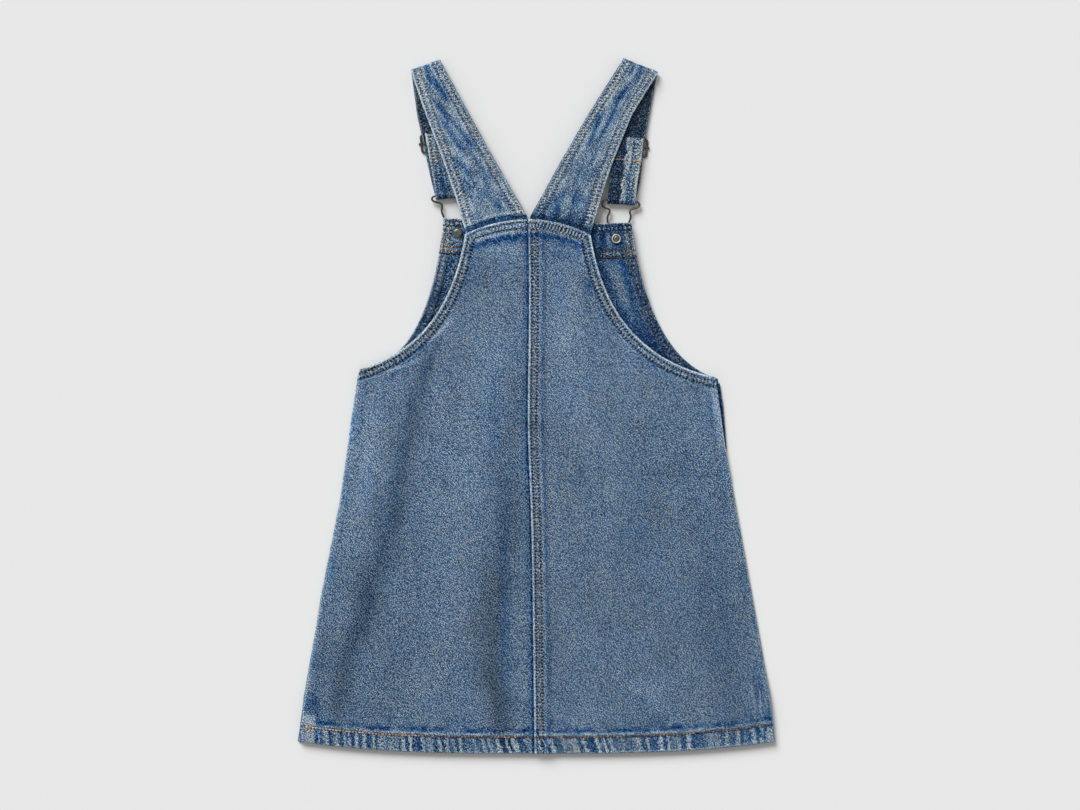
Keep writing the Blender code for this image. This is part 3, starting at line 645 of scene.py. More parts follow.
def backGrid(side):
    curve = backArmhole[side]
    corner = np.array(curve[0])
    middle = outline["topMiddle"][0]
    sign = 1.0 if side == "left" else -1.0
    armLength = topY(middle) - outline["armpitLevel"]
    shares = armholeShares(armLength, 1.7)
    scale = np.minimum(armholeScale(curve, shares), 3.4)
    firstScale = scaleAtFoot(curve, 3.4)
    if side == "left":  # this half ends under the lap
        centre = np.array([0, 0.2, 0.6, 2, 4, 6, 8, 10, 12, 13.2, 13.8, 14.4, 15, 15.8, 16.8, 18, 19.5, 21.5])
    else:
        centre = np.array([
            0, 0.12, 0.35, 0.7, 1.2, 1.8, 2.2, 2.6, 3, 3.4, 4, 4.8, 5.8, 6.8, 7.6, 8.2, 8.6, 9, 9.5,
            10.2, 11, 11.9, 12.8, 13.6, 14.4, 15.2, 16.2, 17.2, 18.4, 20, 22])
    past = 14.0 if side == "left" else 0.0
    count = int(round((abs(corner[0] - middle) - 60.0) / backPiece["grid"]))

    def row(edge, stretch, flat):
        lift = edge[1] - flat(edge[0])
        end = centreX(flat(middle)) + past
        first = edge[0] + sign * edgeSteps * stretch
        last = end - sign * centre
        span = np.abs(last[-1] - first[-1])
        if span < 20.0 or (last[-1] - first[-1]) * sign < 0:
            reach = (last[-1] - edge[0]) * sign - 20.0
            first = edge[0] + (first - edge[0]) * reach / ((first[-1] - edge[0]) * sign)
        across = np.concatenate([first, np.linspace(first[-1], last[-1], count + 1)[1:-1], last[::-1]])
        bend = ((across - middle) / (edge[0] - middle)) ** 2
        return across, flat(across) + lift * bend

    xs, ys = [], []
    low = hemY(outline["hemHalf"] + outline["hemMiddle"][0])
    for share in skirtShares(corner[1] - outline["hemMiddle"][1], backPiece["rowGap"]):
        y = mix(low, corner[1], share)
        stretch = mix(firstScale, 1.0, smooth(0.0, 34.0, corner[1] - y))
        across, level = row(
            (float(seamX("back" + side.title(), y)), y), stretch,
            lambda x, s=share: mix(hemY(x), outline["armpitLevel"], s))
        xs.append(across)
        ys.append(level)
    for share, stretch in zip(shares, scale):
        edge = bezier(curve, share)
        across, level = row(edge, stretch, lambda x, s=share: mix(outline["armpitLevel"], topY(x), s))
        xs.append(across)
        ys.append(level)
    return np.array(xs), np.array(ys)


def makeBack(side):
    x, y = backGrid(side)
    top, under, marks = backLook(x, y, side)
    return flatPiece("backPanel" + side.title(), x, y, top, under, marks, 10 if side == "left" else 20)


pieces = {}
for side in ("left", "right"):
    pieces["back_" + side] = makeBack(side)
    print("back", side, len(pieces["back_" + side].data.polygons), "faces")


# front panel and what lies on its inner side

frontPiece = {
    "grid": 4.2, "rowGap": 4.0, "armGap": 2.2, "rows": (2.5, 8.2), "hemStitch": 15.0,
    "ropePitch": 5.6, "hemPitch": 9.0, "sway": 0.25,
}
insideBlue = (  # strokes on the inner side of the bib
    (84, 142, 92, 122, 3.4, 0.7), (76, 144, 92, 138, 2, 0.5), (92, 122, 96, 96, 3, 0.6),
    (96, 96, 108, 70, 4, 0.5), (108, 70, 124, 50, 4.5, 0.5), (-92, 130, -100, 104, 3.4, 0.6),
    (-104, 112, -116, 84, 3, 0.6), (-86, 146, -92, 132, 3, 0.6),
)
insidePale = (  # and the pale ones
    (76, 138, 88, 104, 4.5, 0.2), (88, 104, 100, 78, 4, 0.16), (80, 141, 90, 135, 0.9, 0.6),
    (89, 134, 93, 124, 0.9, 0.55),
)


def outsideBack(x, y):
    # how far out from under the back's armhole edges each point is
    gaps = []
    for side in ("left", "right"):
        line = armholeLine(backArmhole[side])
        off, _ = beside(x, y, line)
        reach = np.interp(y, line[:, 1], line[:, 0])
        out = (x < reach) if side == "left" else (x > reach)
        gaps.append(np.where(out, off, 0.0))
    return np.where(x < 0, gaps[0], gaps[1])


def fromSides(x, y):
    # the way to the nearer of the front's two armhole edges, and how far along it that is
    (leftOff, leftRun), (rightOff, rightRun) = (beside(x, y, armholeLine(c)) for c in frontArmhole.values())
    return np.minimum(leftOff, rightOff), np.where(leftOff < rightOff, leftRun, rightRun)


def frontLook(x, y):
    # marks of both faces of the front, and how far each stands off its form
    p = frontPiece
    arm, run = fromSides(x, y)
    rim = np.minimum(arm, bibTopY(x) - y)
    rise = y - hemY(x)
    shade = 1 - smooth(0.5, np.where(x > 0, 13.0, 9.0), outsideBack(x, y))
    atRight = mix(0.45, 0.9, smooth(-40.0, 40.0, x))
    by = band(rim, 9.8, 15.0, 1.6) * uneven(run / 5, 94, 0.75, 0.4, 1.2)
    inner = {
        "worn": 0.6 * band(rim, -0.8, 1.3, 0.4) + streakField(x, y, insidePale),
        "deep": streakField(x, y, insideBlue) + atRight * (shade + 0.6 * by) + 0.12,
        "soot": mix(0.75, 0.1, smooth(-60.0, 60.0, x)) + 0.6 * shade + 0.3 * by,
        "tone": 0.97 + 0.05 * cloud(x, y * 0.6, 70.0, 95),
        "rows": np.zeros(x.shape), "along": x, "rungs": np.zeros(x.shape), "beat": x,
    }
    hemTurns = turnsOf(x + hemLean(-x) * (rise - cloth["hemPivot"]), p["hemPitch"], 92)
    puckBand = band(rise, 0.8, 14.6, 1.4)
    outer = {
        "worn": 0.8 * band(rim, -0.8, 1.4, 0.4) + 0.4 * band(rise, -0.8, 2.2, 0.6),
        "rungs": 0.7 * puckBand + 0.6 * band(rim, 3.4, 7.8, 0.8),
        "beat": np.where(rise < 30.0, hemTurns, turnsOf(run, p["ropePitch"], 91, 0.2)),
        "deep": 0.7 * band(rim, 10.0, 15.0, 2.0) * uneven(run / 8, 98, 0.5, 0.5),
        "soot": 0.5 * band(rim, 2.2, 9.6, 0.9) + 0.4 * puckBand,
        "tone": 1.0 + 0.06 * cloud(x, y * 0.5, 140.0, 96),
        "rows": bumps(rim, p["rows"], 0.6) + bump(rise, p["hemStitch"], 0.7),
        "along": np.where(rise < 20, x, run),
    }
    away = smooth(12.0, 50.0, arm) * smooth(10.0, 50.0, rise)
    return inner, outer, 0.5 * p["sway"] * away * (cloud(x, y * 0.5, 60.0, 97) - 1.0)


def bibTopY(x):
    left, right = frontArmhole["left"][3], frontArmhole["right"][3]
    share = np.clip((x - left[0]) / (right[0] - left[0]), 0, 1)
    return mix(left[1], right[1], share) - outline["bibTopDip"] * 4 * share * (1 - share)


def frontGrid():
    p = frontPiece
    left, right = frontArmhole["left"], frontArmhole["right"]
    width = right[0][0] - left[0][0]
    count = int(round((width - 40.0) / p["grid"]))

    def row(start, end, leftScale, rightScale, level):
        first = start + edgeSteps * leftScale
        last = end - edgeSteps * rightScale
        across = np.concatenate([first, np.linspace(first[-1], last[-1], count + 1)[1:-1], last[::-1]])
        return across, level(across)

    shares = armholeShares(bibTopY(0.0) - left[0][1], p["armGap"])
    scales = {side: np.minimum(armholeScale(curve, shares), 4.0) for side, curve in frontArmhole.items()}
    firsts = {side: scaleAtFoot(curve, 4.0) for side, curve in frontArmhole.items()}
    xs, ys = [], []
    low = hemY(outline["hemHalf"] + outline["hemMiddle"][0])
    for share in skirtShares(left[0][1] - outline["hemMiddle"][1], p["rowGap"]):
        y = mix(low, left[0][1], share)
        ease = 1.0 - smooth(0.0, 34.0, left[0][1] - y)
        start, end = float(seamX("frontLeft", y)), float(seamX("frontRight", y))

        def level(x, s=share, a=start, b=end):
            return mix(hemY(x), mix(left[0][1], right[0][1], (x - a) / (b - a)), s)

        across, up = row(start, end, mix(1, firsts["left"], ease), mix(1, firsts["right"], ease), level)
        xs.append(across)
        ys.append(up)
    for index, share in enumerate(shares):
        a, b = bezier(left, share), bezier(right, share)

        def level(x, s=share, a=a, b=b):
            across = (x - a[0]) / (b[0] - a[0])
            return mix(a[1], b[1], across) - outline["bibTopDip"] * s * 4 * across * (1 - across)

        across, up = row(a[0], b[0], scales["left"][index], scales["right"][index], level)
        xs.append(across)
        ys.append(up)
    return np.array(xs), np.array(ys)


def makeFront():
    x, y = frontGrid()
    inner, outer, lift = frontLook(x, y)
    return flatPiece("frontPanelCloth", x, y, frontTop(x, y) + lift, frontUnder(x, y), inner, 30, outer)


pieces["front"] = makeFront()
print("front", len(pieces["front"].data.polygons), "faces")


def inwardOf(side, ahead):
    # square to an armhole's edge, towards the cloth
    sign = 1.0 if side == "left" else -1.0
    return np.stack([ahead[:, 1], -ahead[:, 0]], 1) * sign


facingPiece = {
    "depth": 35.0, "topRows": (3.0, 7.4), "rows": (28.4, 33.4), "sideRows": (3.8, 9.0),
    "rope": 0.3, "pitch": 4.2,
}
turnPiece = {"width": 9.5, "from": 0.12, "rows": (3.2, 8.2), "rope": 0.2, "pitch": 4.0, "step": 1.15}
placketPiece = {"width": 11.0, "step": 1.1, "row": 2.4}


def armholeShareAt(side, y):
    # the share of the front armhole's curve at which it reaches a height
    shares = np.linspace(0, 1, 801)
    return np.interp(y, bezier(frontArmhole[side], shares)[:, 1], shares)


facingBlue = (  # strokes on the facing, as those on the back
    (57, 181, 56, 161, 2.4, 0.7), (66, 178, 66.8, 165, 1.3, 0.6), (71.5, 181, 72.5, 172, 1.1, 0.6),
    (84.5, 180, 88, 165, 0.9, 0.6), (76, 161, 82, 160, 2, 0.4), (92.5, 180, 95, 163, 0.8, 0.5),
)
facingPale = (  # and the pale ones
    (61.8, 177, 61, 163, 1.6, 0.4), (69.2, 176, 69.6, 164, 1.2, 0.4), (87, 178.5, 90.5, 163, 0.9, 0.6),
    (90.5, 180, 93, 165, 0.8, 0.4), (75, 174, 76, 170, 1.2, 0.3), (64, 181.5, 74, 181, 0.9, 0.3),
)


def makeFacing():
    p = facingPiece
    steps = np.concatenate([p["depth"] - edgeSteps[:14], np.arange(27.2, 8.0, -1.3), edgeSteps[13::-1]])
    xs, ys = [], []
    for drop in steps:
        ends = [bezier(c, armholeShareAt(side, c[3][1] - drop)) for side, c in frontArmhole.items()]
        near = edgeSteps[:14] / (ends[1][0] - ends[0][0])
        share = np.concatenate([near, np.linspace(near[-1], 1 - near[-1], 118)[1:-1], (1 - near)[::-1]])
        xs.append(mix(ends[0][0], ends[1][0], share))
        ys.append(mix(ends[0][1], ends[1][1], share) - outline["bibTopDip"] * 4 * share * (1 - share))
    x, y = np.array(xs), np.array(ys)
    top = bibTopY(x) - y
    side, _ = fromSides(x, y)
    rope = ripple(x, p["pitch"], 101)
    topBand, lowBand = band(top, 0.9, 8.4, 1.0), band(top, 28.0, 34.4, 0.8)
    sideBand = band(side, 0.9, 10.0, 1.0)
    edgeRope = ripple(y, p["pitch"], 102) * band(side, 0.9, 9.6, 1.0)
    rows = bumps(top, p["rows"] + p["topRows"], 0.6)
    sideRows = bumps(side, p["sideRows"], 0.6)
    along = np.where(sideRows > rows, y, x)
    rows = rows + sideRows
    relief = p["rope"] * (rope * topBand + 0.4 * rope * lowBand + 0.7 * edgeRope) - 0.25 * rows
    relief += 0.25 * (1 - smooth(9.6, 11.4, side))
    relief += 0.3 * cloud(x, y, 26.0, 103) * band(top, 9, 26, 3)
    shade = 1 - smooth(0.5, np.where(x > 0, 12.0, 6.0), outsideBack(x, y))
    atRight = smooth(-20.0, 20.0, x)
    field = band(top, 8.6, 27.5, 1.2) * smooth(9.6, 11.6, side)
    smear = 0.5 + 0.5 * wander(x / 3.6, 104) + 0.3 * wander(x / 1.7 + y / 9, 107)
    worn = mix(1.0, 0.6, atRight) * band(np.minimum(top, side), -0.8, 1.3, 0.4)
    worn = worn + 0.45 * np.maximum(edgeRope, 0) + mix(0.35, 0.12, atRight) * sideBand
    worn += mix(0.3, 0.12, atRight) * band(top, 29.2, 32.8, 0.8)
    worn += mix(0.25, 0.3, atRight) * field * np.clip(smear, 0, 1) * band(top, 12.0, 25.0, 3.0)
    worn = worn + streakField(x, y, facingPale) + 0.22 * (1 - atRight) * (1 - shade)
    deep = mix(0.05, 0.5, atRight) * topBand + 0.2 * rows + mix(0.4, 0.9, atRight) * shade
    deep += field * mix(0.1, 0.75, atRight) * np.clip(1.0 - 0.8 * smear, 0.1, 1)
    deep += streakField(x, y, facingBlue)
    deep = deep + mix(0.25, 0.5, atRight) * band(side, 10.2, 14.0, 1.3) + 0.3 * band(top, 33.0, 35.0, 0.5)
    soot = mix(0.5, 0.25, atRight) + 0.5 * (topBand + lowBand + shade) + 0.5 * sideBand
    marks = {
        "worn": np.clip(worn, 0, 1.3), "deep": np.clip(deep, 0, 1.3), "soot": np.clip(soot, 0, 1.3),
        "tone": 0.94 + 0.05 * cloud(x, y, 40.0, 106) - 0.15 * shade, "rows": rows, "along": along,
        "rungs": 1.0 * band(top, 3.0, 7.0, 0.7) + 0.2 * band(side, 4.4, 8.6, 0.7) * (top > 8.6),
        "beat": turnsOf(np.where(top < 8.6, x, y), p["pitch"], 108, 0.2),
    }
    return liningPiece("bibFacingCloth", x, y, relief, marks, 40)


def makeTurn(side):
    # the front's armhole edge, folded in and stitched down twice
    p = turnPiece
    curve = frontArmhole[side]
    end = armholeShareAt(side, curve[3][1] - facingPiece["depth"] - cloth["gap"] - 1.0)
    length = lineLength(bezier(curve, np.linspace(p["from"], end, 100)))[-1]
    even = np.linspace(0, length, int(length / p["step"]))[1:-1]
    run = np.concatenate([edgeSteps[:4], even[even > 1.2], length - edgeSteps[3::-1]])
    run = np.unique(run[(run >= 0) & (run <= length)])
    share = mix(p["from"], end, run / length)
    here = bezier(curve, share)
    ahead = unit(bezier(curve, share + 0.01) - here)
    inward = inwardOf(side, ahead)
    off = np.concatenate([edgeSteps[:16], p["width"] - np.array([0.8, 0.4, 0.12, 0.0])])
    x = here[:, :1] + inward[:, :1] * off
    y = here[:, 1:] + inward[:, 1:] * off
    off, along = np.broadcast_to(off, x.shape), np.broadcast_to(run[:, None], x.shape)
    rope = ripple(along, p["pitch"], 111) * band(off, 0.8, 8.4, 1.0)
    rows = bumps(off, p["rows"], 0.55)
    pale = smooth(90.0, 140.0, y) if side == "left" else 0.0
    edgeWear = 1.0 if side == "left" else 0.65
    marks = {
        "worn": edgeWear * band(off, -0.8, 1.3, 0.4) + 0.34 * pale,
        "deep": (0.4 + 0.25 * wander(along / 7, 112)) * (1 - 0.8 * pale),
        "soot": 0.6 - 0.4 * pale + 0.2 * rows, "tone": 0.92 + 0.08 * pale + np.zeros(x.shape),
        "rows": 0.6 * rows, "along": along, "rungs": 0.45 * band(off, 3.8, 7.6, 0.6),
        "beat": turnsOf(along, p["pitch"], 111, 0.2),
    }
    relief = p["rope"] * rope - 0.25 * rows
    return liningPiece("armholeTurn" + side.title(), x, y, relief, marks, 50 if side == "left" else 60)


def makePlacket():
    # the underlap of the side opening
    p = placketPiece
    length = outline["openingTop"] - outline["openingFoot"]
    near, far = edgeSteps[:5], edgeSteps[4::-1]
    run = np.concatenate([near, np.arange(2.4, length - 2.0, p["step"]), length - far])
    off = np.concatenate([near, np.arange(2.4, p["width"] - 2.0, 1.0), p["width"] - far])
    y = np.repeat((outline["openingFoot"] + run)[:, None], len(off), 1)
    x = seamX("frontRight", y) - p["width"] + off
    inner = np.broadcast_to(off, x.shape)
    rope = ripple(y, 6.0, 121)
    row = bump(inner, p["row"], 0.55)
    # its dark tone is partly the unwashed inner cloth and partly painted shade under the back's edge
    marks = {
        "worn": 0.4 * (1 - smooth(0.4, 1.2, p["width"] - inner)),
        "deep": 0.7 + 0.3 * np.maximum(-rope, 0),
        "tone": np.full(x.shape, 0.75), "soot": np.full(x.shape, 0.4),
        "rows": row, "along": y, "rungs": np.zeros(x.shape), "beat": y,
    }
    relief = 0.2 * rope * band(inner, 1.0, 9.0, 1.2) - 0.25 * row
    return liningPiece("sidePlacketCloth", x, y, relief, marks, 70)


pieces["facing"] = makeFacing()
pieces["turn_left"], pieces["turn_right"] = makeTurn("left"), makeTurn("right")
pieces["placket"] = makePlacket()
print("facing, turned edges and placket")


# straps: up from the back, over the shoulder, down to the hook and doubled back

strapPiece = {
    "thick": 2.2, "step": 1.25, "baseStep": 0.6, "foldSteps": 14, "rows": (3.6, 9.1), "rowDip": 0.28,
    "thin": 0.3, "rope": 0.12, "ropePitch": 3.9, "streak": 0.34, "ease": 5.0, "middleColumns": 13,
    "edgeShift": 40.0,  # the outer edge's puckers run this far ahead of the inner edge's
}
strapFolds = {"shoulder": (2.3, 3.7, -1.0), "hook": (2.4, 3.9, 1.0)}  # radius, height, falling or rising
strapLie = {  # edges as inner x, y, outer x, y, then the heights of the strap's middle
    "left": {
        "upper": (
            (-9.5, 175.5, -68.5, 163, 7.8, 9.5), (-8, 187, -71.5, 174.5, 7.8, 9.5),
            (-27, 219.5, -80.2, 206.1, 8.5, 9.3), (-44.8, 250.5, -95.5, 250.7, 8.9, 8.9),
            (-69, 294.5, -112.1, 294.1, 7.6, 7.4),
        ),
        "shoulder": (-96.1, 345.7, -126.1, 335.2),
        "front": (
            (-88.4, 290, -119, 288, 2.4, 2.4), (-84, 274, -114.7, 270, 3.2, 3.2),
            (-80.5, 255, -111, 252, 3.2, 3.2), (-74.5, 225, -105.3, 225, 2.2, 2.2),
        ),
        "hook": (-71.6, 207.4, -100.8, 205.4),
        "doubled": (
            (-74, 225, -102.6, 224, 6.3, 6.3), (-78.6, 250, -107.2, 247, 5.9, 5.9),
            (-83, 274, -111.4, 271.6, 5.8, 5.8),
        ),
    },
    "right": {
        "upper": (
            (-6, 175.5, 51.5, 161, 7.8, 9.5), (-7.3, 187, 55, 173.5, 7.8, 9.5),
            (8.5, 215, 64.5, 207, 8.5, 9.3), (23.5, 242.5, 76, 242, 8.9, 8.9),
            (51.1, 290, 95.4, 290, 7.6, 7.4),
        ),
        "shoulder": (86.6, 347.3, 121.7, 333.2),
        "front": (
            (82.6, 288, 112, 287, 2.4, 2.4), (79, 270, 108.6, 268.5, 3.2, 3.2),
            (76.6, 248, 106.2, 247, 3.2, 3.2), (73.6, 222, 103.4, 222, 2.2, 2.2),
        ),
        "hook": (70.4, 201.4, 98.6, 199.6),
        "doubled": (
            (73, 222, 100.8, 222, 6.3, 6.3), (76, 246, 104.8, 245, 5.9, 5.9),
            (78.6, 268.5, 107.2, 266.4, 5.8, 5.8),
        ),
    },
}
strapBlue = {  # darker strokes on the part that lies on top
    "left": (
        (-111, 341, -105.4, 319.4, 2, 0.6), (-101.6, 324.4, -90.5, 305.7, 2, 0.7),
        (-96.7, 300.8, -88, 285.8, 2, 0.5), (-90.5, 288, -89, 278, 3.1, 0.35),
        (-83, 264.5, -73, 254, 1.7, 0.5), (-71.8, 265.9, -61.8, 257.2, 3.3, 0.35),
        (-80.5, 246, -65.6, 229.9, 1.9, 0.65), (-73, 223.7, -64.3, 217.5, 1.7, 0.45),
        (-69.3, 210, -61.8, 206.2, 1.7, 0.45), (-44.5, 203.8, -32, 195.1, 2.2, 0.4),
        (-62, 192, -56, 188, 1.9, 0.4), (-55, 236, -46, 226, 3.1, 0.25), (-96, 318, -86, 300, 1.1, 0.3),
        (-52, 218, -44, 208, 1.6, 0.25),
    ),
    "right": (
        (97, 337, 93, 329.4, 1.3, 0.55), (93, 323.2, 88.1, 315.7, 1.3, 0.5),
        (90.5, 315.5, 80, 303.5, 2.2, 0.85), (80.6, 300.8, 73.1, 285.8, 1.6, 0.65),
        (73.1, 285.8, 63.2, 263.5, 1.5, 0.5), (63.2, 284.4, 52, 260, 1.5, 0.85),
        (27.1, 213.5, 14.7, 195.1, 2.2, 0.45), (39.5, 213.5, 35.8, 198.8, 1.9, 0.4),
        (45.5, 208, 40.8, 189.1, 1.9, 0.5), (24, 203, 19, 192, 1.6, 0.35), (50, 232, 42, 216, 2.3, 0.25),
        (104, 330, 100, 322, 1.2, 0.35),
    ),
}
strapPale = {  # pale strokes there
    "left": (
        (-81.7, 258.5, -66.8, 238.6, 1.3, 0.55), (-75.5, 232.5, -64.3, 219.9, 1.2, 0.5),
        (-34, 204, -26, 190, 1.1, 0.65), (-50, 217, -38, 206, 1.2, 0.3), (-118, 333, -104, 297, 2.2, 0.3),
        (-88, 300, -78, 282, 3, 0.25), (-72, 206, -56, 182, 5, 0.25), (-92, 275, -84, 262, 1.6, 0.3),
    ),
    "right": (
        (78, 318, 68, 296, 2.4, 0.35), (84, 300, 74, 278, 1.4, 0.3), (59, 280, 46, 254, 3.5, 0.2),
        (30, 208, 24, 192, 1.6, 0.4), (44, 200, 42, 190, 1.2, 0.35), (70, 276, 58, 240, 3, 0.2),
        (35, 205, 31, 192, 1.3, 0.4), (18, 203, 12, 192, 1.3, 0.35),
    ),
}
doubledBlue = {  # strokes on the doubled ends
    "left": ((-104.5, 249, -102, 228, 1.3, 0.3), (-97, 240, -92, 208, 4, 0.5)),
    "right": ((94, 214, 93, 202, 3, 0.3),),
}
doubledPale = {  # and the pale ones
    "left": ((-110, 270, -107, 254, 1.6, 0.35),),
    "right": ((102, 262, 97, 206, 2, 0.3),),
}


def strapStations(side):
    # inner edge, outer edge and facing of the strap's middle sheet, from the back to the doubled end
    lieOf = strapLie[side]
    inner, outer, facing, zone = [], [], [], []

    def level(rows, up, part):
        for ax, ay, bx, by, az, bz in rows:
            inner.append((ax, ay, az))
            outer.append((bx, by, bz))
            facing.append((0.0, 0.0, up))
            zone.append(part)

    def around(name, part):
        radius, height, turn = strapFolds[name]
        ends = np.array(lieOf[name]).reshape(2, 2)
        bar = (ends[1] - ends[0]) / np.linalg.norm(ends[1] - ends[0])
        out = np.array([-bar[1], bar[0]])
        out = out * (1.0 if (out[1] > 0) == (turn < 0) else -1.0)
        for share in np.linspace(0, 1, strapPiece["foldSteps"]):
            angle = math.pi * (share - 0.5) * turn
            push = out * (radius * math.cos(angle) - radius - strapPiece["thick"] / 2)
            up = height + radius * math.sin(angle)
            inner.append((*(ends[0] + push), up))
            outer.append((*(ends[1] + push), up))
            facing.append((*(out * math.cos(angle)), math.sin(angle)))
            zone.append(part)

    level(lieOf["upper"], 1.0, 0)
    around("shoulder", 1)
    level(lieOf["front"], -1.0, 2)
    around("hook", 3)
    level(lieOf["doubled"], 1.0, 4)
    return np.array(inner), np.array(outer), np.array(facing), np.array(zone)


def strapSheet(side):
    # the same, at close even steps, with the runs eased so that no station shows as a kink
    inner, outer, facing, zone = strapStations(side)
    parts = []
    for k in range(len(inner) - 1):
        reach = np.linalg.norm((inner[k + 1] + outer[k + 1] - inner[k] - outer[k]) / 2)
        fold = zone[k] in (1, 3) and zone[k + 1] == zone[k]
        step = strapPiece["baseStep" if k < 2 else "step"]
        count = 1 if fold else max(int(round(reach / step)), 1)
        for share in np.arange(count) / count:
            row = [mix(part[k], part[k + 1], share) for part in (inner, outer, facing)]
            parts.append((*row, fold))
    parts.append((inner[-1], outer[-1], facing[-1], False))
    inner, outer, facing = (np.array([part[i] for part in parts]) for i in range(3))
    run = lineLength((inner + outer) / 2)
    folds = run[np.array([part[3] for part in parts])]
    calm = np.min(np.abs(run[:, None] - folds), axis=1)
    hold = smooth(2.0, 14.0, calm) * smooth(0.0, 10.0, run) * smooth(0.0, 10.0, run[-1] - run)
    weight = np.exp(-((run[:, None] - run) / strapPiece["ease"]) ** 2)
    weight /= weight.sum(1, keepdims=True)
    inner, outer = (mix(line, weight @ line, hold[:, None]) for line in (inner, outer))
    return inner, outer, unit(facing), run


